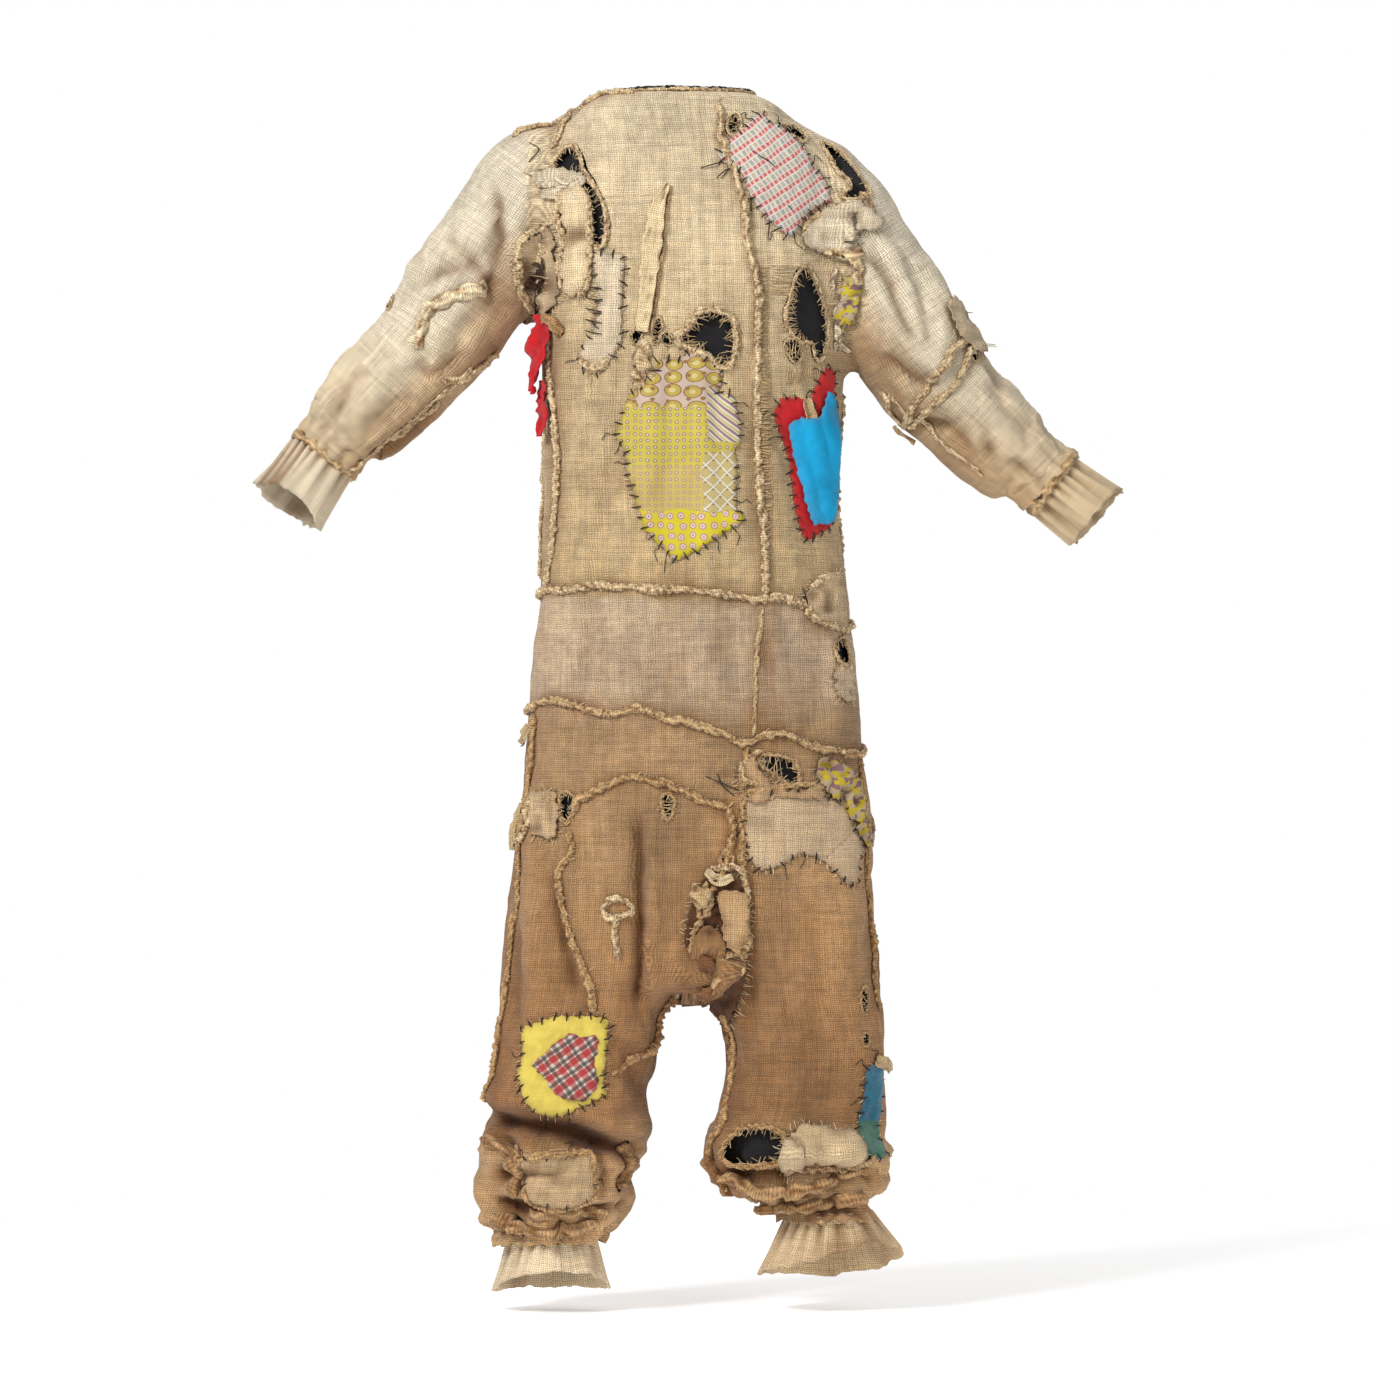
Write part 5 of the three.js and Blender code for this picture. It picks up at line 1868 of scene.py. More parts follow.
def tape_look(name, colour):
    """Fine ribbed tape, for the pieces that have no weave coordinates."""
    look = Look(name, 0.85, 0.1)
    where = look.tree.nodes.new("ShaderNodeTexCoord")
    split = look.tree.nodes.new("ShaderNodeSeparateXYZ")
    look.put(split.inputs[0], where.outputs["Object"])
    ribs = look.math("SINE", look.math("MULTIPLY", split.outputs[0], 5200.0))
    rows = look.math("SINE", look.math("MULTIPLY", split.outputs[2], 4200.0))
    height = look.math("ADD", ribs, rows)
    look.bump(height, 0.6, 0.3 * MM)
    return look.finished(rgba(colour), look.math("MULTIPLY_ADD", height, 0.09, 0.95))


BURLAP = burlap_look()
LINING = plain_look("lining_black", 1.1, 0.35, 0.5, 0.4, 0.9, 0.2)
THREAD = plain_look("thread", 0.6, 0.2, 0.3, 0.3, 0.7, 0.1)
COTTON = plain_look("cotton", 0.8, 0.25, 0.25, 0.2)
SATIN = plain_look("satin", 0.5, 0.06, 0.06, 0.06, 0.55, 0.0)
SHOULDER_PLAID = plaid_look("shoulder_plaid", (240, 232, 222), [
    ((176, 178, 162), "along", 13.5, 0.42, 0.86, 12.0, 0.08, 0.40, 0.9),
    ((206, 190, 160), "along", 13.5, 0.42, 0.86, 12.0, 0.56, 0.88, 0.9),
    ((222, 104, 98), "along", 13.5, 0.0, 0.34, 6.0, 0.12, 0.72, 0.95),
    ((236, 170, 160), "along", 13.5, 0.0, 0.34, 6.0, 0.72, 1.0, 0.6),
], 32, 0.5)
KNEE_PLAID = plaid_look("knee_plaid", (232, 222, 210), [
    ((190, 36, 44), "along", 17, 0.0, 0.42, 0, 0, 0, 0.8),
    ((190, 36, 44), "across", 17, 0.0, 0.42, 0, 0, 0, 0.66),
    ((70, 62, 60), "along", 17, 0.54, 0.78, 0, 0, 0, 0.72),
    ((70, 62, 60), "across", 17, 0.54, 0.78, 0, 0, 0, 0.66),
], 38, 0.5)
PRINT = print_look()
SCRAP = scrap_look()
TEAL = teal_look()
ZIP_METAL = metal_look("zip_metal", BRASS, 0.38)
ZIP_TAPE = tape_look("zip_tape", (196, 170, 128))
FACING = tape_look("neck_facing", BLACK)


# ---- Frills ----
FRILL_ROWS = 15
FRILL_FOLDS = 1.9  # how closely the folds at the hem follow each other


def frill(name, top, axis, side, start, hem, lengths, seed, colour):
    """A gathered tube of cloth. start and hem are its half widths to the side and the front, in millimetres;
    lengths are its length along the axis at angles round it, in degrees from the front towards the side."""
    top, axis, side = np.array(top) * MM, np.array(axis, float), np.array(side, float)
    front = np.array([0.0, -1.0, 0.0])
    turns = np.linspace(-math.pi, math.pi, 133)
    degrees = np.degrees(turns)
    wide_angles = [a + shift for shift in (-360, 0, 360) for a, _ in lengths]
    wide_lengths = [value for _ in range(3) for _, value in lengths]
    order = np.argsort(wide_angles)
    long = np.interp(degrees, np.array(wide_angles)[order], np.array(wide_lengths)[order])
    kernel = np.hanning(11) / np.hanning(11).sum()
    long = np.convolve(np.concatenate([long[-5:], long, long[:5]]), kernel, mode="valid")
    ring = np.stack([np.cos(turns), np.sin(turns), turns * 0], axis=1)
    long = long + 3.0 * noise_at(ring * 4, 1, seed) + 1.8 * noise_at(ring * 11, 1, seed)
    rows, tints = [], []
    for t in np.linspace(0, 1, FRILL_ROWS):
        flare = t ** 0.9
        half_side = start[0] + (hem[0] - start[0]) * flare
        half_front = start[1] + (hem[1] - start[1]) * flare
        pleat = np.sin(turns * 17 + 2.2 * np.sin(turns * 3 + seed) + 0.7 * t)
        ruffle = 3.4 * (1 - t) ** 1.2 * pleat
        wide_fold = noise_at(ring * FRILL_FOLDS + np.array([0, 0, 0.25 * t]), 1, seed + 2)
        ruffle += 9.5 * flare * wide_fold + 1.8 * t * np.sin(turns * 11 + seed)
        low = long * t
        place = top + np.outer(low * MM, axis)
        place += np.outer(np.sin(turns) * (half_side + ruffle) * MM, side)
        place += np.outer(np.cos(turns) * (half_front + ruffle * 0.9) * MM, front)
        rows.append(place)
        # Painted shade: the fold valleys and pleats are browner and the crests paler, and the cloth is darker
        # just under the gather; the noise below is uneven soiling.
        shade = smooth(0.74 + 0.6 * wide_fold * flare + 0.42 * pleat * (1 - t) ** 1.2 - 0.3 * (1 - t) ** 4)
        brown_amount = noise_at(ring * 3 + np.array([0, 0, 2.0 * t]), 1, seed + 7) * 0.10
        shade = np.clip(shade - brown_amount, 0, 1)[:, None]
        tints.append(linear(BROWN) * (1 - shade) + linear(colour) * shade)
    count = len(turns)
    surface = np.array(rows)
    around = np.linalg.norm(np.diff(surface, axis=1), axis=2).mean(axis=0)
    around = np.tile(np.concatenate([[0], np.cumsum(around)]), (FRILL_ROWS, 1))
    down = np.linalg.norm(np.diff(surface, axis=0), axis=2)
    down = np.concatenate([np.zeros((1, count)), np.cumsum(down, axis=0)])
    weave = np.stack([around, down], axis=2).reshape(-1, 2)
    cloth = Cloth()
    cloth.add(np.concatenate(rows), grid_faces(FRILL_ROWS, count), np.concatenate(tints), weave)
    made = cloth.made(name, BURLAP)
    with edited(made.data) as bm:
        bmesh.ops.remove_doubles(bm, verts=bm.verts, dist=1e-6)
        bmesh.ops.recalc_face_normals(bm, faces=bm.faces)
    return made


# ---- Build: the garment and its lining ----
garment = opened(filled_form())
garment.name = "garment"
settled(garment)
base_count = len(garment.data.vertices)
subdivision = garment.modifiers.new("Subdivision", "SUBSURF")
subdivision.levels = 1
base_mesh = garment.data.copy()
apply_modifiers(garment)
shade_smooth(garment.data)
shape = coordinates(garment.data)
normals = vertex_normals(garment.data)
hollow = creased(shape, normals)
folds = wrinkled(shape)
moved = hollow + folds
steady = smooth((-14 - shape[:, 2] / MM) / 24)
beside_zip = (shape[:, 1] > BACK_FROM_Y) & (shape[:, 2] / MM > ZIP_END_Z - 20)
steady *= np.where(beside_zip, smooth((np.abs(shape[:, 0]) / MM - 12) / 30), 1)
flat_shape = shape
shape = shape + normals * (moved * steady * MM)[:, None]
shape = relax(shape, edge_pairs(garment.data), 1, 0.4)
set_coordinates(garment.data, shape)
normals = vertex_normals(garment.data)
SKIN = BVHTree.FromPolygons(
    [tuple(p) for p in shape], [tuple(face.vertices) for face in garment.data.polygons]
)
base_garment = bpy.data.objects.new("base", base_mesh)
lining = lining_of(base_garment, flat_shape[:base_count], np.minimum(moved * steady, 0)[:base_count])
shade_smooth(lining.data)
set_tint(lining.data, np.tile(linear(BLACK), (base_count, 1)))
weave_garment(lining.data)
lining.data.materials.clear()
lining.data.materials.append(LINING)
dress(lining, [
    "torso_lining_front", "torso_lining_back", "hip_lining", "leg_lining_right", "leg_lining_left",
    "upper_sleeve_lining_right", "upper_sleeve_lining_left", "lower_sleeve_lining_right",
    "lower_sleeve_lining_left",
])
# The crease depth and the fold valleys set the painted shade in the burlap's tint.
set_tint(garment.data, burlap_colours(shape, normals, hollow + 0.9 * np.minimum(folds, 0)))
weave_garment(garment.data)
cut_holes(garment)
garment.data.materials.append(BURLAP)
dress(garment, [
    "front_panel", "front_side_panel", "front_waist_band", "side_waist_band", "back_panel_right",
    "back_panel_left", "back_waist_band", "hip_panel_right", "hip_panel_left", "seat_panel_right",
    "seat_panel_left", "crotch_gusset", "leg_right", "leg_left", "upper_sleeve_right", "upper_sleeve_left",
    "lower_sleeve_right", "lower_sleeve_left",
], held="hung")

# ---- Build: seams ----
class AsGiven:
    """A tube whose points are given as s and v, not as X and Z."""

    def __init__(self, tube):
        self.tube = tube
        self.point = tube.point
        self.outward = tube.outward

    def locate(self, s, v):
        return s, v


AROUND = AsGiven(BODY)
seams = Cloth()
for number, (name, points) in enumerate(SEAMS.items()):
    flat = name == "front_band"
    ridge(seams, FRONT, points, 5 if flat else 8.5, 1.6 if flat else 4.6, seed=number)
for hand, lines in ARM_SEAMS.items():
    for number, points in enumerate(lines):
        ridge(seams, SLEEVE[hand], points, 8, 4.5, seed=50 + number)
ridge(seams, SLEEVE["right"], ARM_SEAMS["right"][0], 15, 5, seed=58, colour=(248, 228, 190))
for low, high, middle in ((-587, -626, -600), (-721, -777, -745)):
    for side, z in ((-1, low), (1, high)):
        start = BODY.across(-181 if side < 0 else 204, z)
        end = side * (float(BODY.girth(middle)) / 2 - 2)
        turn = [(start + (end - start) * share, z + (middle - z) * share) for share in (0, 0.35, 0.7, 1)]
        ridge(seams, AROUND, turn, 8, 4, seed=60 + side)
for side in (-1, 1):
    half = float(BODY.girth(-300)) / 2
    ridge(seams, AROUND, [(side * (half - 12), z) for z in range(-8, -560, -60)], 5, 2, seed=64 + side)
    ridge(seams, AROUND, [(side * 260, z) for z in range(-350, -571, -55)], 7, 3.5, seed=66 + side)
ridge(seams, AROUND, [(float(BODY.girth(z)) / 2 - 2, z) for z in range(-614, -960, -57)], 7, 4, seed=68)
for hand, arm in ARMS.items():
    side = arm["side"]
    sleeve = AsGiven(SLEEVE[hand])
    underside = [(side * 62, v) for v in range(210, int(arm["upper"] + arm["fore"]) - 20, 45)]
    ridge(seams, sleeve, underside, 6, 3, seed=70 + side)

NECK_POINTS = 190
neck_turns = np.linspace(0, 2 * math.pi, NECK_POINTS, endpoint=False)
neck_out = np.stack([np.cos(neck_turns), np.sin(neck_turns), neck_turns * 0], axis=1)
neck_ring = neck_out * np.array([NECK["wide"], NECK["deep"], 0]) + np.array([NECK["x"], NECK["y"], -1.5])
open_back = np.array([not (abs(p[0]) < SLIT_HALF + 3 and p[1] > 0) for p in neck_ring])
start = int(np.argmax(~open_back & np.roll(open_back, -1))) + 1
neck_order = [(start + k) % NECK_POINTS for k in range(NECK_POINTS)]
neck_order = [k for k in neck_order if open_back[k]]
neck_up = np.tile([0, 0, 1.0], (len(neck_order), 1)) + neck_out[neck_order] * 0.3
neck_edge = Cloth()
ridge_at(neck_edge, neck_ring[neck_order] * MM, neck_up, neck_out[neck_order], 8, 3.4, seed=80)
neck_edge = neck_edge.made("neck_edge", BURLAP)
neck_lining = Cloth()
lining_ring = neck_ring * np.array([0.975, 0.97, 0]) + np.array([0, 0, 2.4])
ridge_at(neck_lining, lining_ring[neck_order] * MM, neck_up, neck_out[neck_order], 4, 2, 81, False, BLACK)
neck_lining.tints = [linear(BLACK)] * len(neck_lining.tints)
neck_lining = neck_lining.made("neck_lining", LINING)
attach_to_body(neck_lining, "torso")
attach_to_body(neck_edge, "torso")

# ---- Build: patches, stitches and frays ----
stitches = Cloth()
frays = Cloth()
RIMS = {  # how wide a rolled edge each hole has, and how long its threads are
    "chest": (8, 13), "armhole": (6, 8), "strip_left": (3, 5), "strip_right": (3, 6), "strip_small": (3, 8),
    "neck": (4, 8), "shoulder": (4, 7), "shoulder_slit": (5, 6), "side_front": (5, 10),
    "side_front_low": (3, 9), "band": (5, 9), "hip": (5, 9), "hip_left": (5, 7), "thigh": (4, 7),
    "thigh_inner": (5, 7), "outer_slit": (4, 6), "outer_nick": (3, 5), "knee": (7, 10), "elbow_right": (3, 4),
    "elbow_left": (3, 4),
}
for number, (name, (zone, outline)) in enumerate(HOLES.items()):
    wide, length = RIMS[name]
    ridge(seams, tube_of(zone), outline, wide, wide * 0.5, seed=90 + number, closed=True)
    frayed(frays, tube_of(zone), outline, 3.2, length, seed=number)
    frayed(frays, tube_of(zone), outline, 6.0, length * 0.8, seed=number + 30, inward=-0.7)
for x, z, wide, high, upright in (
        (19, -318, 52, 16, False), (4, -300, 22, 20, False), (-25, -838, 18, 26, False),
        (80, -1252, 60, 10, False),
        (124, -306, 20, 26, True), (86, -345, 16, 90, False), (88, -420, 14, 100, False),
        (90, -520, 12, 120, False),
        (104, -795, 30, 12, True), (-113, -262, 14, 64, False), (88, -250, 12, 90, False),
        (112, -222, 38, 38, False), (118, -262, 26, 44, False), (150, -330, 22, 30, True),
        (128, -336, 18, 26, True)):
    ladder(frays, FRONT, x, z, wide, high, upright, seed=int(x + z))
for name, points in SEAMS.items():
    if name in ("front", "hip", "waist", "hip_curve", "front_hip", "leg_edge", "crotch_edge"):
        frayed(frays, FRONT, points, 7, 7, seed=len(points) * 7, open_line=True, spread=1.4, inward=1)
        frayed(frays, FRONT, points, 9, 6, seed=len(points) * 9, open_line=True, spread=1.4, colour=PALE)

PRINT_LINE = [
    (-39, -318), (-12, -317), (2, -306), (20, -317), (37, -326), (38, -343), (34, -356), (49, -359),
    (57, -384),
    (60, -408), (53, -422), (54, -445), (54, -487), (61, -503), (40, -519), (6, -541), (-18, -550),
    (-27, -540),
    (-52, -514), (-65, -472), (-72, -451), (-75, -422), (-86, -405), (-78, -378), (-70, -360), (-39, -332),
]
PLAID_LINE = [
    (35, -74), (61, -47), (87, -26), (95, -38), (108, -42), (123, -54), (135, -67), (144, -81), (147, -91),
    (160, -105), (164, -130), (158, -135), (139, -148), (121, -173), (108, -167), (87, -148), (77, -134),
    (68, -118), (57, -94), (41, -87),
]
CHEST_LINE = [
    (-115, -190), (-97, -194), (-78, -197), (-80, -241), (-80, -291), (-92, -315), (-106, -330), (-123, -327),
    (-131, -312), (-120, -294), (-111, -277), (-108, -241),
]
RED_LINE = [
    (102, -369), (111, -360), (133, -362), (144, -369), (147, -351), (164, -324), (176, -336), (171, -357),
    (172, -388), (179, -442), (172, -503), (148, -521), (133, -523), (121, -477), (115, -429), (98, -385),
]
BLUE_LINE = [
    (114, -392), (128, -384), (148, -383), (160, -352), (172, -393), (176, -439), (169, -497), (146, -509),
    (139, -504), (127, -463), (117, -417),
]
THIGH_LINE = [
    (66, -825), (88, -819), (130, -822), (174, -830), (188, -848), (194, -866), (206, -880), (201, -901),
    (196, -925), (183, -927), (167, -911), (153, -899), (130, -892), (106, -904), (85, -911), (71, -899),
    (64, -872), (61, -845),
]
YELLOW_LINE = [
    (-197, -1098), (-183, -1090), (-147, -1081), (-98, -1085), (-98, -1125), (-102, -1160), (-98, -1172),
    (-124, -1186), (-153, -1196), (-177, -1193), (-191, -1166), (-200, -1149), (-196, -1123),
]
KNEE_PLAID_LINE = [
    (-141, -1101), (-126, -1105), (-107, -1107), (-112, -1137), (-108, -1160), (-118, -1174), (-124, -1180),
    (-153, -1174), (-171, -1154), (-183, -1139), (-167, -1123),
]
SHIN_LINE = [
    (-188, -1245), (-153, -1243), (-115, -1243), (-113, -1266), (-115, -1290), (-141, -1304), (-183, -1299),
    (-194, -1278), (-200, -1255),
]
TEAL_LINE = [
    (204, -1143), (222, -1140), (226, -1184), (224, -1219), (222, -1243), (212, -1248), (198, -1243),
    (200, -1207), (206, -1172),
]


def sewn(made, nodes=(), whole=False):
    """Finishes a piece of cloth that lies on the garment."""
    return dress(made, nodes, held="laid", thickness=1.1, whole=whole)


sewn(patch("print_cloth", BODY, PRINT_LINE, PRINT, WHITE, 2.4, seed=1), ["print_patch"])
sewn(patch("plaid_cloth", BODY, PLAID_LINE, SHOULDER_PLAID, WHITE, 2.2, seed=2, crumple=0.5),
     ["plaid_patch"])
sewn(patch("chest_cloth", BODY, CHEST_LINE, BURLAP, (240, 220, 188), 2.0, seed=3, crumple=0.8),
     ["chest_patch"])
red = patch("red_cloth", BODY, RED_LINE, COTTON, (216, 34, 44), 2.2, seed=4, crumple=0.6, spacing=3.4)
sewn(red, ["red_patch"])
blue = patch("blue_cloth", BODY, BLUE_LINE, SATIN, (0, 168, 222), 9.0, seed=5, crumple=2.6, grain=44,
             curl=0.6,
             spacing=2.8)
sewn(blue, ["blue_patch"])
sewn(patch("thigh_cloth", BODY, THIGH_LINE, BURLAP, (214, 186, 150), 2.4, seed=6, crumple=1.2, grain=22),
     ["thigh_patch"])
yellow = patch("yellow_cloth", LEG["right"], YELLOW_LINE, COTTON, (232, 208, 96), 2.4, seed=7, crumple=0.7)
sewn(yellow, ["yellow_knee_patch"])
sewn(patch("knee_plaid_cloth", LEG["right"], KNEE_PLAID_LINE, KNEE_PLAID, (232, 222, 214), 5.4, seed=8,
           crumple=0.6),
     ["plaid_knee_patch"])
sewn(patch("shin_cloth", LEG["right"], SHIN_LINE, BURLAP, (206, 176, 136), 2.2, seed=9, crumple=1.4),
     ["shin_patch"])
sewn(patch("teal_cloth", LEG["left"], TEAL_LINE, TEAL, (0, 112, 140), 2.4, seed=10, crumple=1.0, spacing=3.2),
     ["teal_patch"])
sewn(patch("back_cloth", AROUND, [(300, -300), (346, -296), (352, -350), (344, -392), (300, -386),
                                  (292, -340)],
           COTTON, (150, 116, 92), 2.2, seed=11))

for number, (points, tube, pitch) in enumerate((
        (PRINT_LINE, BODY, 13), (PLAID_LINE, BODY, 12), (CHEST_LINE, BODY, 15), (RED_LINE, BODY, 14),
        (THIGH_LINE, BODY, 15), (YELLOW_LINE, LEG["right"], 14), (SHIN_LINE, LEG["right"], 22),
        (TEAL_LINE, LEG["left"], 18))):
    whip_stitches(stitches, tube, points, pitch, seed=20 + number)
    frayed(frays, tube, points, 9, 5, seed=200 + number, inward=-1, colour=PALE)
for z in range(-232, -296, -13):
    thread_on(stitches, BODY, on(BODY, [(-124, z + 2), (-114, z - 1), (-103, z - 3)]), [1, 4, 4.5], 0.8,
              linear((30, 26, 24)))
ridge(seams, BODY, [(-129, -312), (-120, -324), (-107, -327), (-94, -314)], 9, 6, seed=120)
ridge(seams, BODY, [(64, -822), (84, -816), (110, -812), (134, -812), (158, -816), (176, -826)], 8, 5,
      seed=121)
ridge(seams, LEG["right"], SHIN_LINE, 7, 4.5, seed=122, closed=True)
ridge(seams, LEG["right"], [(-188, -1246), (-150, -1240), (-112, -1244)], 9, 6, seed=123)

# Long loose threads at the neck and shoulder, the waist and the hip
for points in (
        [(61, -65), (80, -78), (98, -90), (106, -106)], [(12, -94), (26, -90), (38, -86)],
        [(31, -106), (40, -98), (53, -91)], [(94, -153), (93, -164), (92, -177)],
        [(74, -124), (71, -136), (73, -147)], [(110, -132), (118, -140), (126, -150)],
        [(130, -581), (134, -594), (138, -601)], [(128, -590), (140, -596), (146, -590)],
        [(18, -801), (30, -806), (44, -812), (59, -818)], [(32, -798), (38, -812), (52, -824)],
        [(-160, -100), (-150, -96), (-142, -88)], [(-174, -60), (-166, -70), (-168, -84)]):
    path = on(BODY, points)
    thread_on(stitches, BODY, path, [1.2, *[3.4] * (len(path) - 2), 1.0], 0.8, linear((28, 24, 24)))

# The pale strip down the chest, and the knot that it ends in
spine = [(-26, -112), (-36, -140), (-44, -180), (-47, -215), (-50, -250), (-54, -285)]
sewn(strip("chest_strip_cloth", BODY, spine, [3, 18, 22, 21, 17, 15], [1.5, 4, 4.5, 4, 4, 4], BURLAP,
           (255, 230, 184),
           seed=31, crumple=3.6), ["chest_strip"])
knot(seams, BODY, -56, -316, 11, seed=32, tall=1.7)
knot(seams, BODY, -60, -338, 8, seed=33, tall=1.4)


def under(points):
    """The CAD node that a piece on the front lies on, from the middle of its X and Z points."""
    x, z = np.mean(points, axis=0)
    hand = "right" if x < LEGS_MEET_X else "left"
    if z < LEGS_Z:
        return [f"leg_{hand}"]
    if z < HIP_Z:
        return [f"hip_panel_{hand}"]
    if z < WAIST_Z:
        return ["side_waist_band" if x > FRONT_SEAM_X else "front_waist_band"]
    if abs(x) > SLEEVE_FROM:
        return [f"upper_sleeve_{hand}"]
    return ["front_side_panel" if x > FRONT_SEAM_X else "front_panel"]


# Torn flaps, and two dark sheets laid as painted shade: name, outline, look, colour, height, crumple and the
# size of its folds
FLAPS = [
    ("armhole_tab", [(-167, -98), (-153, -94), (-126, -98), (-124, -112), (-141, -118), (-163, -114)],
     BURLAP, CREAM_RAG, 5, 1.5, 14),
    ("armhole_flap", [(-152, -119), (-135, -114), (-120, -124), (-118, -171), (-120, -224), (-130, -241),
                      (-144, -237), (-151, -206), (-146, -171), (-153, -141)], BURLAP, (240, 216, 176), 4,
                      3.2, 24),
    ("sleeve_loop", [(-170, -159), (-198, -171), (-210, -197), (-207, -230), (-196, -251), (-171, -263),
                     (-153, -241), (-158, -200), (-159, -171)], BURLAP, (222, 196, 158), 4, 5.0, 24),
    # A very dark brown sheet inside the sleeve loop: painted shade within the fold.
    ("sleeve_fold", [(-185, -192), (-173, -190), (-171, -218), (-179, -241), (-188, -236), (-188, -209)],
     BURLAP, (66, 42, 26), 9, 1.0, 14),
    ("shoulder_cloth", [(132, -168), (144, -150), (163, -138), (179, -131), (203, -138), (219, -157),
                        (214, -166),
                        (196, -166), (179, -178), (172, -197), (155, -192), (137, -183)],
     BURLAP, (236, 218, 188), 5, 4.2, 24),
    ("shoulder_scrap", [(174, -223), (198, -218), (203, -241), (196, -267), (179, -272), (172, -247)],
     SCRAP, (250, 244, 230), 5, 3.0, 12),
    ("waist_rag", [(137, -583), (151, -571), (177, -565), (188, -577), (188, -616), (184, -626), (153, -621),
                   (139, -609)], BURLAP, (212, 184, 146), 4, 2.4, 16),
    ("band_flap", [(168, -680), (186, -675), (197, -689), (195, -710), (182, -713), (170, -701)],
     BURLAP, (216, 192, 158), 4, 2.5, 10),
    ("hip_flap_rag", [(-194, -822), (-158, -822), (-154, -846), (-158, -872), (-186, -868), (-194, -846)],
     BURLAP, (214, 184, 144), 4, 2.5, 14),
    # A dark brown sheet: painted shade in the crotch's hollow.
    ("crotch_hollow", [(2, -950), (14, -925), (38, -914), (60, -924), (66, -960), (66, -1020), (60, -1060),
                       (48, -1090), (24, -1078), (6, -1050), (-6, -1026), (-4, -980)],
     BURLAP, (92, 56, 32), 3, 4.0, 16),
    ("crotch_cloth", [(34, -936), (66, -940), (70, -976), (62, -1008), (46, -1000), (38, -972)],
     BURLAP, (206, 168, 122), 10, 4.5, 26),
    ("crotch_cloth_low", [(4, -990), (20, -974), (44, -998), (46, -1026), (26, -1052), (4, -1034)],
     BURLAP, (168, 126, 84), 9, 5.0, 24),
    ("knee_cloth", [(113, -1222), (135, -1208), (165, -1214), (190, -1222), (196, -1244), (188, -1256),
                    (150, -1250), (118, -1256)], BURLAP, (216, 190, 150), 4, 3.0, 22),
    ("knee_fluff", [(106, -1232), (120, -1226), (132, -1240), (128, -1262), (114, -1270), (106, -1254)],
     BURLAP, (224, 200, 162), 6, 3.5, 20),
    ("thigh_pocket", [(56, -800), (76, -778), (84, -800), (120, -820), (150, -812), (152, -828), (110, -826),
                      (70, -832)], BURLAP, (196, 162, 122), 4, 4.0, 16),
    ("hip_scrap", [(146, -790), (164, -780), (190, -800), (206, -826), (212, -848), (196, -856), (176, -836),
                   (158, -820)], SCRAP, (240, 226, 206), 5, 5.0, 14),
    ("hip_scrap_low", [(196, -858), (212, -852), (230, -868), (226, -886), (208, -884)],
     SCRAP, (236, 222, 206), 5, 4.0, 10),
    ("elbow_puff_left", [(298, -250), (320, -244), (345, -262), (356, -290), (340, -304), (318, -290),
                         (302, -272)], BURLAP, (230, 208, 174), 5, 5.0, 16),
]
for number, (name, outline, look, colour, lift, crumple, grain) in enumerate(FLAPS):
    made = patch(name, FRONT, outline, look, colour, lift, seed=300 + number, crumple=crumple * 1.2,
                 grain=grain, curl=1.5, spacing=3.4, torn=2.4, swell=0.2)
    sewn(made, whole=True)
    frayed(frays, FRONT, outline, 4, 7, seed=320 + number, inward=-1, colour=PALE)
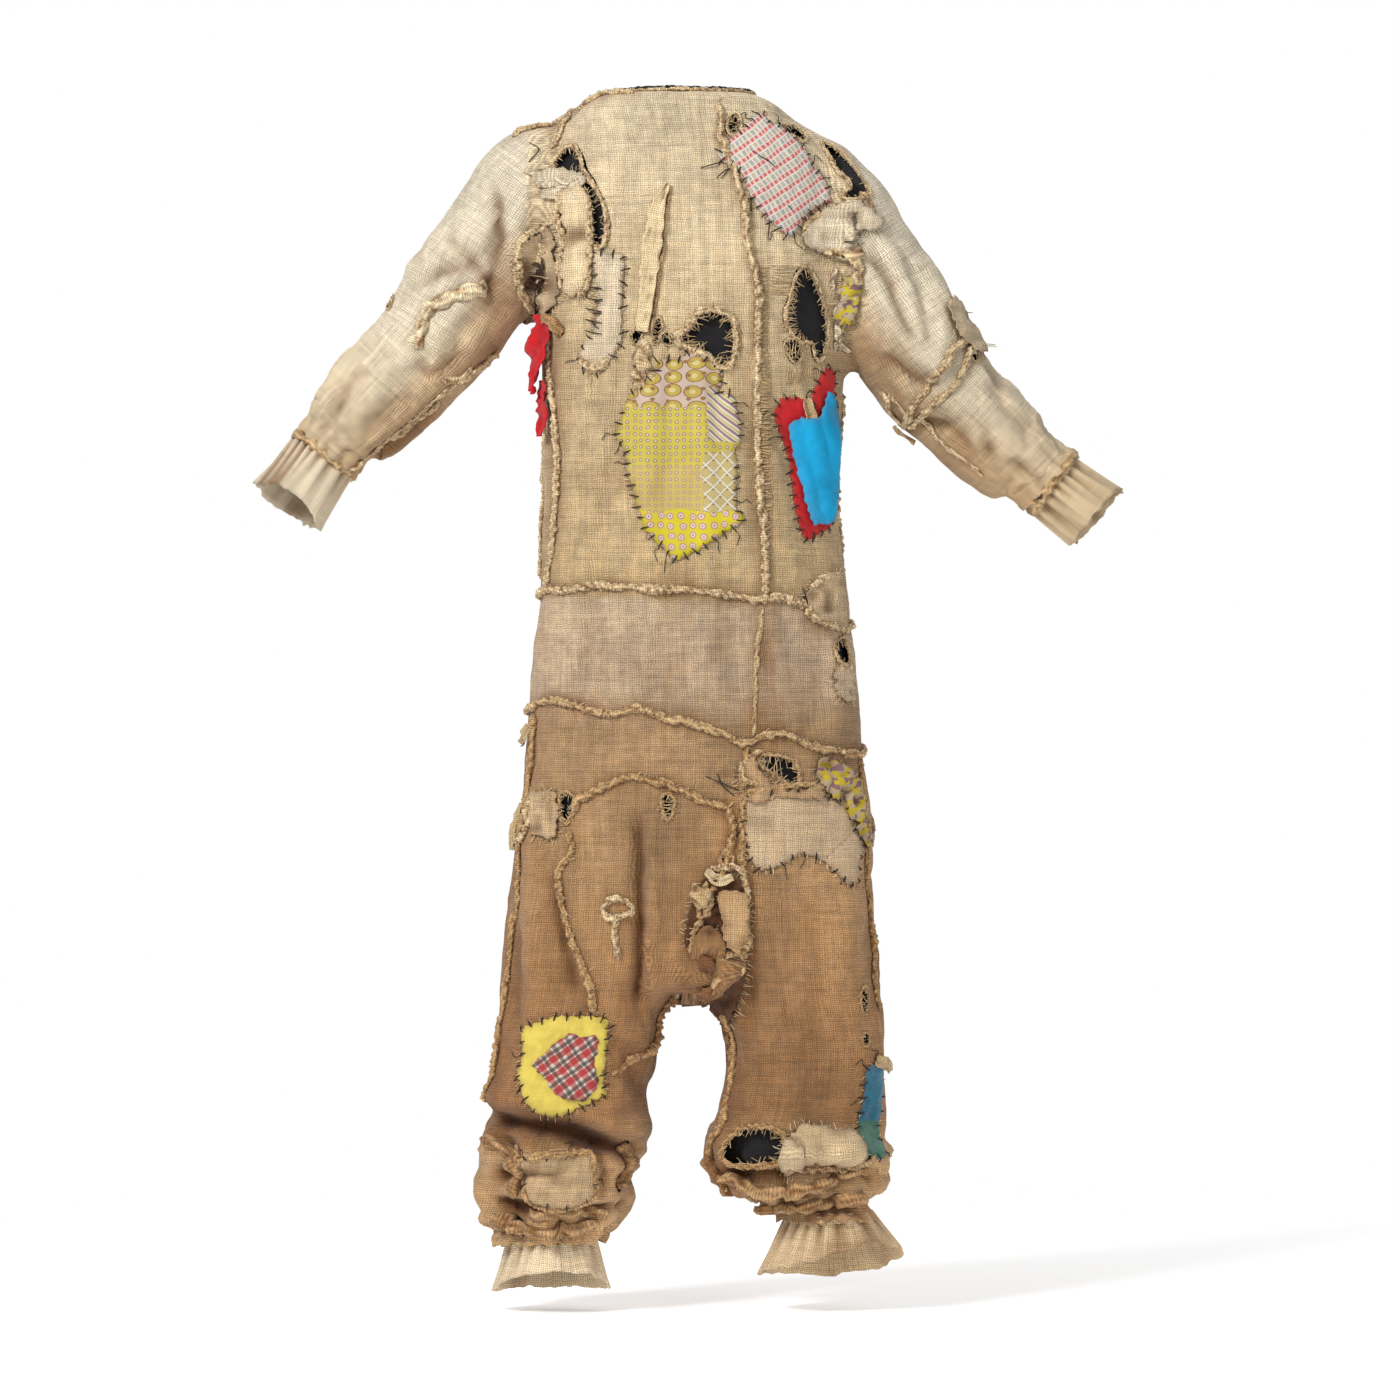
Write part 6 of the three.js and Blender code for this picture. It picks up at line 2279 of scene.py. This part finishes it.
for number, (points, wide, high, colour) in enumerate((
        ([(-153, -119), (-156, -150), (-150, -178), (-154, -206), (-146, -238)], 8, 6, PALE),
        ([(-121, -124), (-118, -160), (-119, -200), (-122, -230), (-132, -243)], 8, 6, PALE),
        ([(-168, -158), (-190, -163), (-204, -178), (-211, -204), (-208, -232), (-198, -250)], 9, 7, PALE),
        ([(-172, -176), (-186, -186), (-190, -206), (-186, -228)], 8, 6, PALE),
        ([(-196, -268), (-177, -263), (-159, -271), (-147, -285)], 13, 8, (190, 150, 104)),
        ([(-158, -100), (-146, -112), (-134, -104), (-128, -116)], 7, 6, CREAM_RAG),
        ([(-141, -118), (-134, -130), (-128, -140)], 9, 6, CREAM_RAG),
        ([(158, -192), (177, -190), (191, -197), (200, -209), (198, -230)], 11, 8, PALE),
        ([(170, -206), (168, -226), (176, -244), (172, -262)], 6, 5, CREAM_RAG),
        ([(134, -168), (146, -152), (160, -142)], 7, 5, GOLD),
        ([(180, -244), (176, -282), (182, -300)], 6, 5, CREAM_RAG),
        ([(-101, -956), (-92, -944), (-76, -946), (-69, -958), (-84, -968), (-87, -990), (-84, -1014)], 7, 6,
         PALE),
        ([(-102, -952), (-96, -964), (-82, -964)], 9, 4, PALE),
        ([(8, -930), (22, -940), (18, -962), (6, -974)], 11, 9, (206, 172, 128)),
        ([(30, -1004), (46, -1014), (64, -1004), (70, -980)], 11, 9, (212, 176, 130)),
        ([(22, -912), (46, -906), (62, -918), (68, -950)], 9, 7, PALE),
        ([(0, -1020), (14, -1046), (30, -1056)], 10, 8, (150, 106, 70)),
        ([(2, -1050), (20, -1080), (34, -1120), (46, -1160)], 8, 5, (170, 128, 84)),
        ([(-186, -822), (-190, -850), (-200, -880)], 9, 7, PALE),
        ([(138, -584), (154, -572), (178, -566)], 7, 5, PALE),
        ([(170, -682), (180, -672), (192, -684), (196, -704)], 6, 5, PALE),
        ([(84, -812), (62, -802), (66, -780), (84, -772)], 8, 6, GOLD),
        ([(-32, -122), (-46, -164), (-55, -225), (-60, -286)], 3.5, 3, GOLD),
        ([(-25, -122), (-31, -180), (-38, -240), (-46, -290)], 4, 3, GOLD),
        ([(196, -120), (206, -132), (214, -146)], 6, 5, GOLD),
        ([(110, -1254), (140, -1260), (180, -1256), (210, -1246)], 10, 8, (206, 172, 130)),
        ([(-200, -1230), (-196, -1250), (-204, -1276)], 8, 6, (196, 160, 116)),
        ([(-236, -1318), (-200, -1330), (-150, -1334), (-110, -1322)], 16, 10, (190, 152, 108)),
        ([(-240, -1226), (-216, -1240), (-200, -1264), (-210, -1292)], 15, 10, (180, 142, 100)),
        ([(-68, -1228), (-62, -1256), (-78, -1288)], 15, 10, (172, 134, 92)),
        ([(-190, -1316), (-140, -1308), (-96, -1314)], 13, 8, (196, 160, 116)),
        ([(44, -1270), (90, -1286), (140, -1280), (214, -1260)], 16, 10, (196, 158, 112)),
        ([(80, -1310), (130, -1303), (200, -1290)], 14, 9, (184, 146, 102)),
        ([(28, -1238), (36, -1266), (60, -1294)], 14, 9, (164, 122, 80)),
        ([(-8, -1052), (-30, -1078), (-46, -1112), (-70, -1136), (-92, -1150)], 9, 6, (190, 150, 106)))):
    ridge(seams, FRONT, points, wide, high, seed=360 + number, colour=colour)

# Rags: name, tube, spine, widths, heights, colour, crumple
RAGS = [
    ("armhole_bit", BODY, [(-165, -122), (-154, -120), (-145, -118)], [8, 14, 8], [3, 3], CREAM_RAG, 1.5),
    ("side_tab", BODY, [(134, -362), (139, -384), (142, -404)], [10, 16, 12], [5, 5], GOLD, 2),
    ("hip_tail", BODY, [(-190, -745), (-202, -756), (-212, -764)], [14, 18, 8], [4, 8], GOLD, 3),
    ("hip_tail_low", BODY, [(-206, -834), (-212, -862), (-216, -888)], [12, 18, 8], [3, 6], GOLD, 3),
    ("thigh_curl", BODY, [(18, -912), (34, -922), (50, -918)], [8, 13, 8], [5, 6], PALE, 3),
    ("teal_rag", LEG["left"], [(212, -1134), (226, -1140), (232, -1148)], [12, 16, 8], [4, 6], GOLD, 2),
    ("elbow_tip_left", SLEEVE["left"], [(240, -392), (248, -406), (256, -418)], [12, 16, 6], [4, 4], GOLD, 3),
    ("back_rag", AROUND, [(-330, -180), (-338, -214), (-334, -248)], [18, 26, 14], [3, 4], PALE, 3),
    ("seat_rag", AROUND, [(330, -800), (338, -834), (330, -872)], [26, 34, 20], [3, 4], (206, 178, 142), 3),
]
RED_RAGS = [
    ("red_rag", BODY, [(-172, -262), (-178, -300), (-190, -352)], [30, 52, 18], [5, 16], (222, 30, 40), 5),
    ("red_rag_low", BODY, [(-174, -338), (-174, -368), (-174, -404)], [30, 34, 14], [4, 10], (214, 30, 40),
     4),
]


def lay_rags(rags, look, first_seed):
    for number, (name, tube, line, widths, lifts, colour, crumple) in enumerate(rags):
        made = strip(name, tube, line, widths, lifts, look, colour, seed=first_seed + number, crumple=crumple)
        sewn(made, whole=True)


lay_rags(RAGS, BURLAP, 130)
lay_rags(RED_RAGS, COTTON, 170)
knot(seams, BODY, 178, -294, 6, seed=34, tall=1.5, colour=CREAM_RAG)
LUMPS = [  # at the crotch: x, z, size and colour; the lower ones are browner as painted shade deeper in the crotch
    (12, -938, 13, GOLD), (20, -1018, 10, (132, 88, 54)), (42, -1050, 11, (150, 104, 66)),
    (28, -1074, 9, (112, 70, 44)),
]
for number, (x, z, size, colour) in enumerate(LUMPS):
    knot(seams, BODY if z > -1020 else LEG["left"], x, z, size, seed=400 + number, colour=colour)

seams = seams.made("seams", BURLAP)
frays = frays.made("frays", THREAD)
stitches = stitches.made("stitches", THREAD)
dress(seams)
dress(frays)
dress(stitches)

# ---- Build: gathered elastics and frills ----
FRILLS = [
    ("wrist", "right", (39, 39), (45, 42), [(-180, 92), (-90, 84), (-30, 70), (0, 64), (40, 72), (90, 86)], 5,
     (246, 230, 200)),
    ("wrist", "left", (39, 39), (45, 40), [(-180, 78), (-90, 70), (0, 68), (90, 80)], 6, (240, 216, 176)),
    ("ankle", "right", (48, 48), (66, 56), [(-180, 68), (-90, 68), (-45, 50), (0, 40), (45, 44), (90, 66)], 7,
     (250, 228, 192)),
    ("ankle", "left", (46, 47), (82, 58), [(-180, 84), (-90, 74), (-45, 66), (0, 50), (40, 33), (90, 48),
                                           (135, 72)],
     8, (236, 208, 166)),
]
for kind, hand, start, hem, lengths, seed, colour in FRILLS:
    side = ARMS[hand]["side"]
    if kind == "wrist":
        arm = ARM[hand]
        top = arm["wrist"] - arm["lower"] * 5.0
        axis = (arm["cuff"][0], 0, arm["cuff"][1])
        across = (arm["cuff"][1] * -side, 0, arm["cuff"][0] * side)
        limb = "lower_sleeve"
    else:
        top = (-163, -1341) if hand == "right" else (165, -1314)
        axis, across = (0, 0, -1), (1, 0, 0)
        limb = "leg"
    body = f"{limb}_{hand[0]}"
    top3 = (top[0], MID_Y, top[1])
    made = frill(f"{kind}_frill_{hand}", top3, axis, across, start, hem, lengths, seed, colour)
    declare(made, 1.3)
    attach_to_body(made, body)
    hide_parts(f"{kind}_cuff_{hand}")
    band = Cloth()
    turns = np.linspace(0, 2 * math.pi, 120, endpoint=False)
    ring = np.outer(np.sin(turns), across) * start[0] + np.outer(np.cos(turns), (0, -1, 0)) * start[1]
    way = ring / np.linalg.norm(ring, axis=1, keepdims=True)
    centre = np.array(top3) + np.array(axis, float) * 7
    places = np.vstack([centre + ring, (centre + ring)[:1]]) * MM
    out = np.vstack([way, way[:1]])
    ridge_at(band, places, out, np.tile(axis, (len(places), 1)).astype(float), 12, 5.2, seed, True, GOLD)
    band = band.made(f"{kind}_gather_{hand}", BURLAP)
    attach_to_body(band, body)
    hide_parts(f"{kind}_elastic_{hand}")

# ---- Build: the zip ----
TEETH = 170
TOOTH_PITCH = 3.0
FIRST_TOOTH_Z = -52
ZIP_Y = 100.1
TOOTH_FACES = [(0, 1, 3, 2), (4, 6, 7, 5), (0, 4, 5, 1), (2, 3, 7, 6), (0, 2, 6, 4), (1, 5, 7, 3)]
teeth = Cloth()
for k in range(TEETH):
    z = FIRST_TOOTH_Z - k * TOOTH_PITCH
    side = 1 if k % 2 else -1
    x = side * 1.1
    corners = [(x + a * 1.5, ZIP_Y + b * 1.4, z + c) for a, b, c in itertools.product((-1, 1), repeat=3)]
    teeth.add(np.array(corners) * MM, TOOTH_FACES, np.tile(linear(BRASS), (8, 1)), np.zeros((8, 2)))
teeth = teeth.made("teeth", ZIP_METAL)
shade_smooth(teeth.data, False)
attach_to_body(teeth, "torso")
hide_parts("zip_teeth_right", "zip_teeth_left")
for name, look in (("zip_tape_right", ZIP_TAPE), ("zip_tape_left", ZIP_TAPE), ("zip_slider", ZIP_METAL),
                   ("zip_pull", ZIP_METAL), ("zip_bottom_stop", ZIP_METAL), ("neck_facing", FACING)):
    node = bpy.data.objects[name]
    for kept in [node, *node.children_recursive]:
        if kept.type == "MESH":
            kept.data.materials.clear()
            kept.data.materials.append(look)


# ---- Studio ----
def area_light(name, place, target, size, power):
    light = bpy.data.lights.new(name, "AREA")
    light.shape = "RECTANGLE"
    light.size, light.size_y = size
    light.energy = power
    made = bpy.data.objects.new(name, light)
    SCENE.collection.objects.link(made)
    made.location = place
    made.rotation_euler = (Vector(target) - Vector(place)).to_track_quat("-Z", "Y").to_euler()


AMBIENT = 0.44  # the white world's strength as a light
BACKDROP = 1.0  # and as the camera sees it
SCENE.view_settings.view_transform = "Standard"
world = bpy.data.worlds.new("studio")
world.use_nodes = True
nodes, links = world.node_tree.nodes, world.node_tree.links
background = nodes["Background"]
background.inputs["Color"].default_value = (1, 1, 1, 1)
ray = nodes.new("ShaderNodeLightPath")
seen = nodes.new("ShaderNodeMath")
seen.operation = "MULTIPLY_ADD"
seen.inputs[1].default_value = BACKDROP - AMBIENT
seen.inputs[2].default_value = AMBIENT
links.new(ray.outputs["Is Camera Ray"], seen.inputs[0])
links.new(seen.outputs[0], background.inputs["Strength"])
SCENE.world = world
MIDDLE = Vector((0.0118, MID_Y * MM, -0.7127))
area_light("key", (-2.4, -3.3, 2.1), MIDDLE, (1.3, 1.3), 185)
area_light("fill", (2.8, -3.2, 0.2), MIDDLE, (2.6, 2.6), 34)
area_light("back", (0.5, 3.4, 1.2), MIDDLE, (2.4, 2.0), 45)

FLOOR_SIDES = 96
FLOOR_RADIUS = 1.6
FLOOR_Z = -1.432
floor_turns = np.linspace(0, 2 * math.pi, FLOOR_SIDES, endpoint=False)
floor_rim = [(math.cos(a) * FLOOR_RADIUS, math.sin(a) * FLOOR_RADIUS, 0) for a in floor_turns]
floor = new_object("floor", floor_rim, [tuple(range(FLOOR_SIDES))])
floor.location.z = FLOOR_Z
floor_look = bpy.data.materials.new("floor")
floor_look.use_nodes = True
floor_shader = floor_look.node_tree.nodes["Principled BSDF"]
for socket, value in (("Base Color", (0.95, 0.95, 0.95, 1)), ("Roughness", 1.0), ("Specular IOR Level", 0.0),
                      ("Emission Color", (1, 1, 1, 1)), ("Emission Strength", 0.30)):
    floor_shader.inputs[socket].default_value = value
floor.data.materials.append(floor_look)

# ---- Camera: straight ahead, at the middle of the figure's height ----
DISTANCE = 8.0
FRAME_WIDTH = 1.649  # what the picture takes in at the figure
SENSOR = 36
camera_data = bpy.data.cameras.new("camera")
camera_data.sensor_width = SENSOR
camera_data.lens = SENSOR * DISTANCE / FRAME_WIDTH
camera_data.clip_end = 100
camera = bpy.data.objects.new("camera", camera_data)
SCENE.collection.objects.link(camera)
camera.location = (MIDDLE.x, MIDDLE.y - DISTANCE, MIDDLE.z)
camera.rotation_euler = (math.radians(90), 0, 0)
SCENE.camera = camera
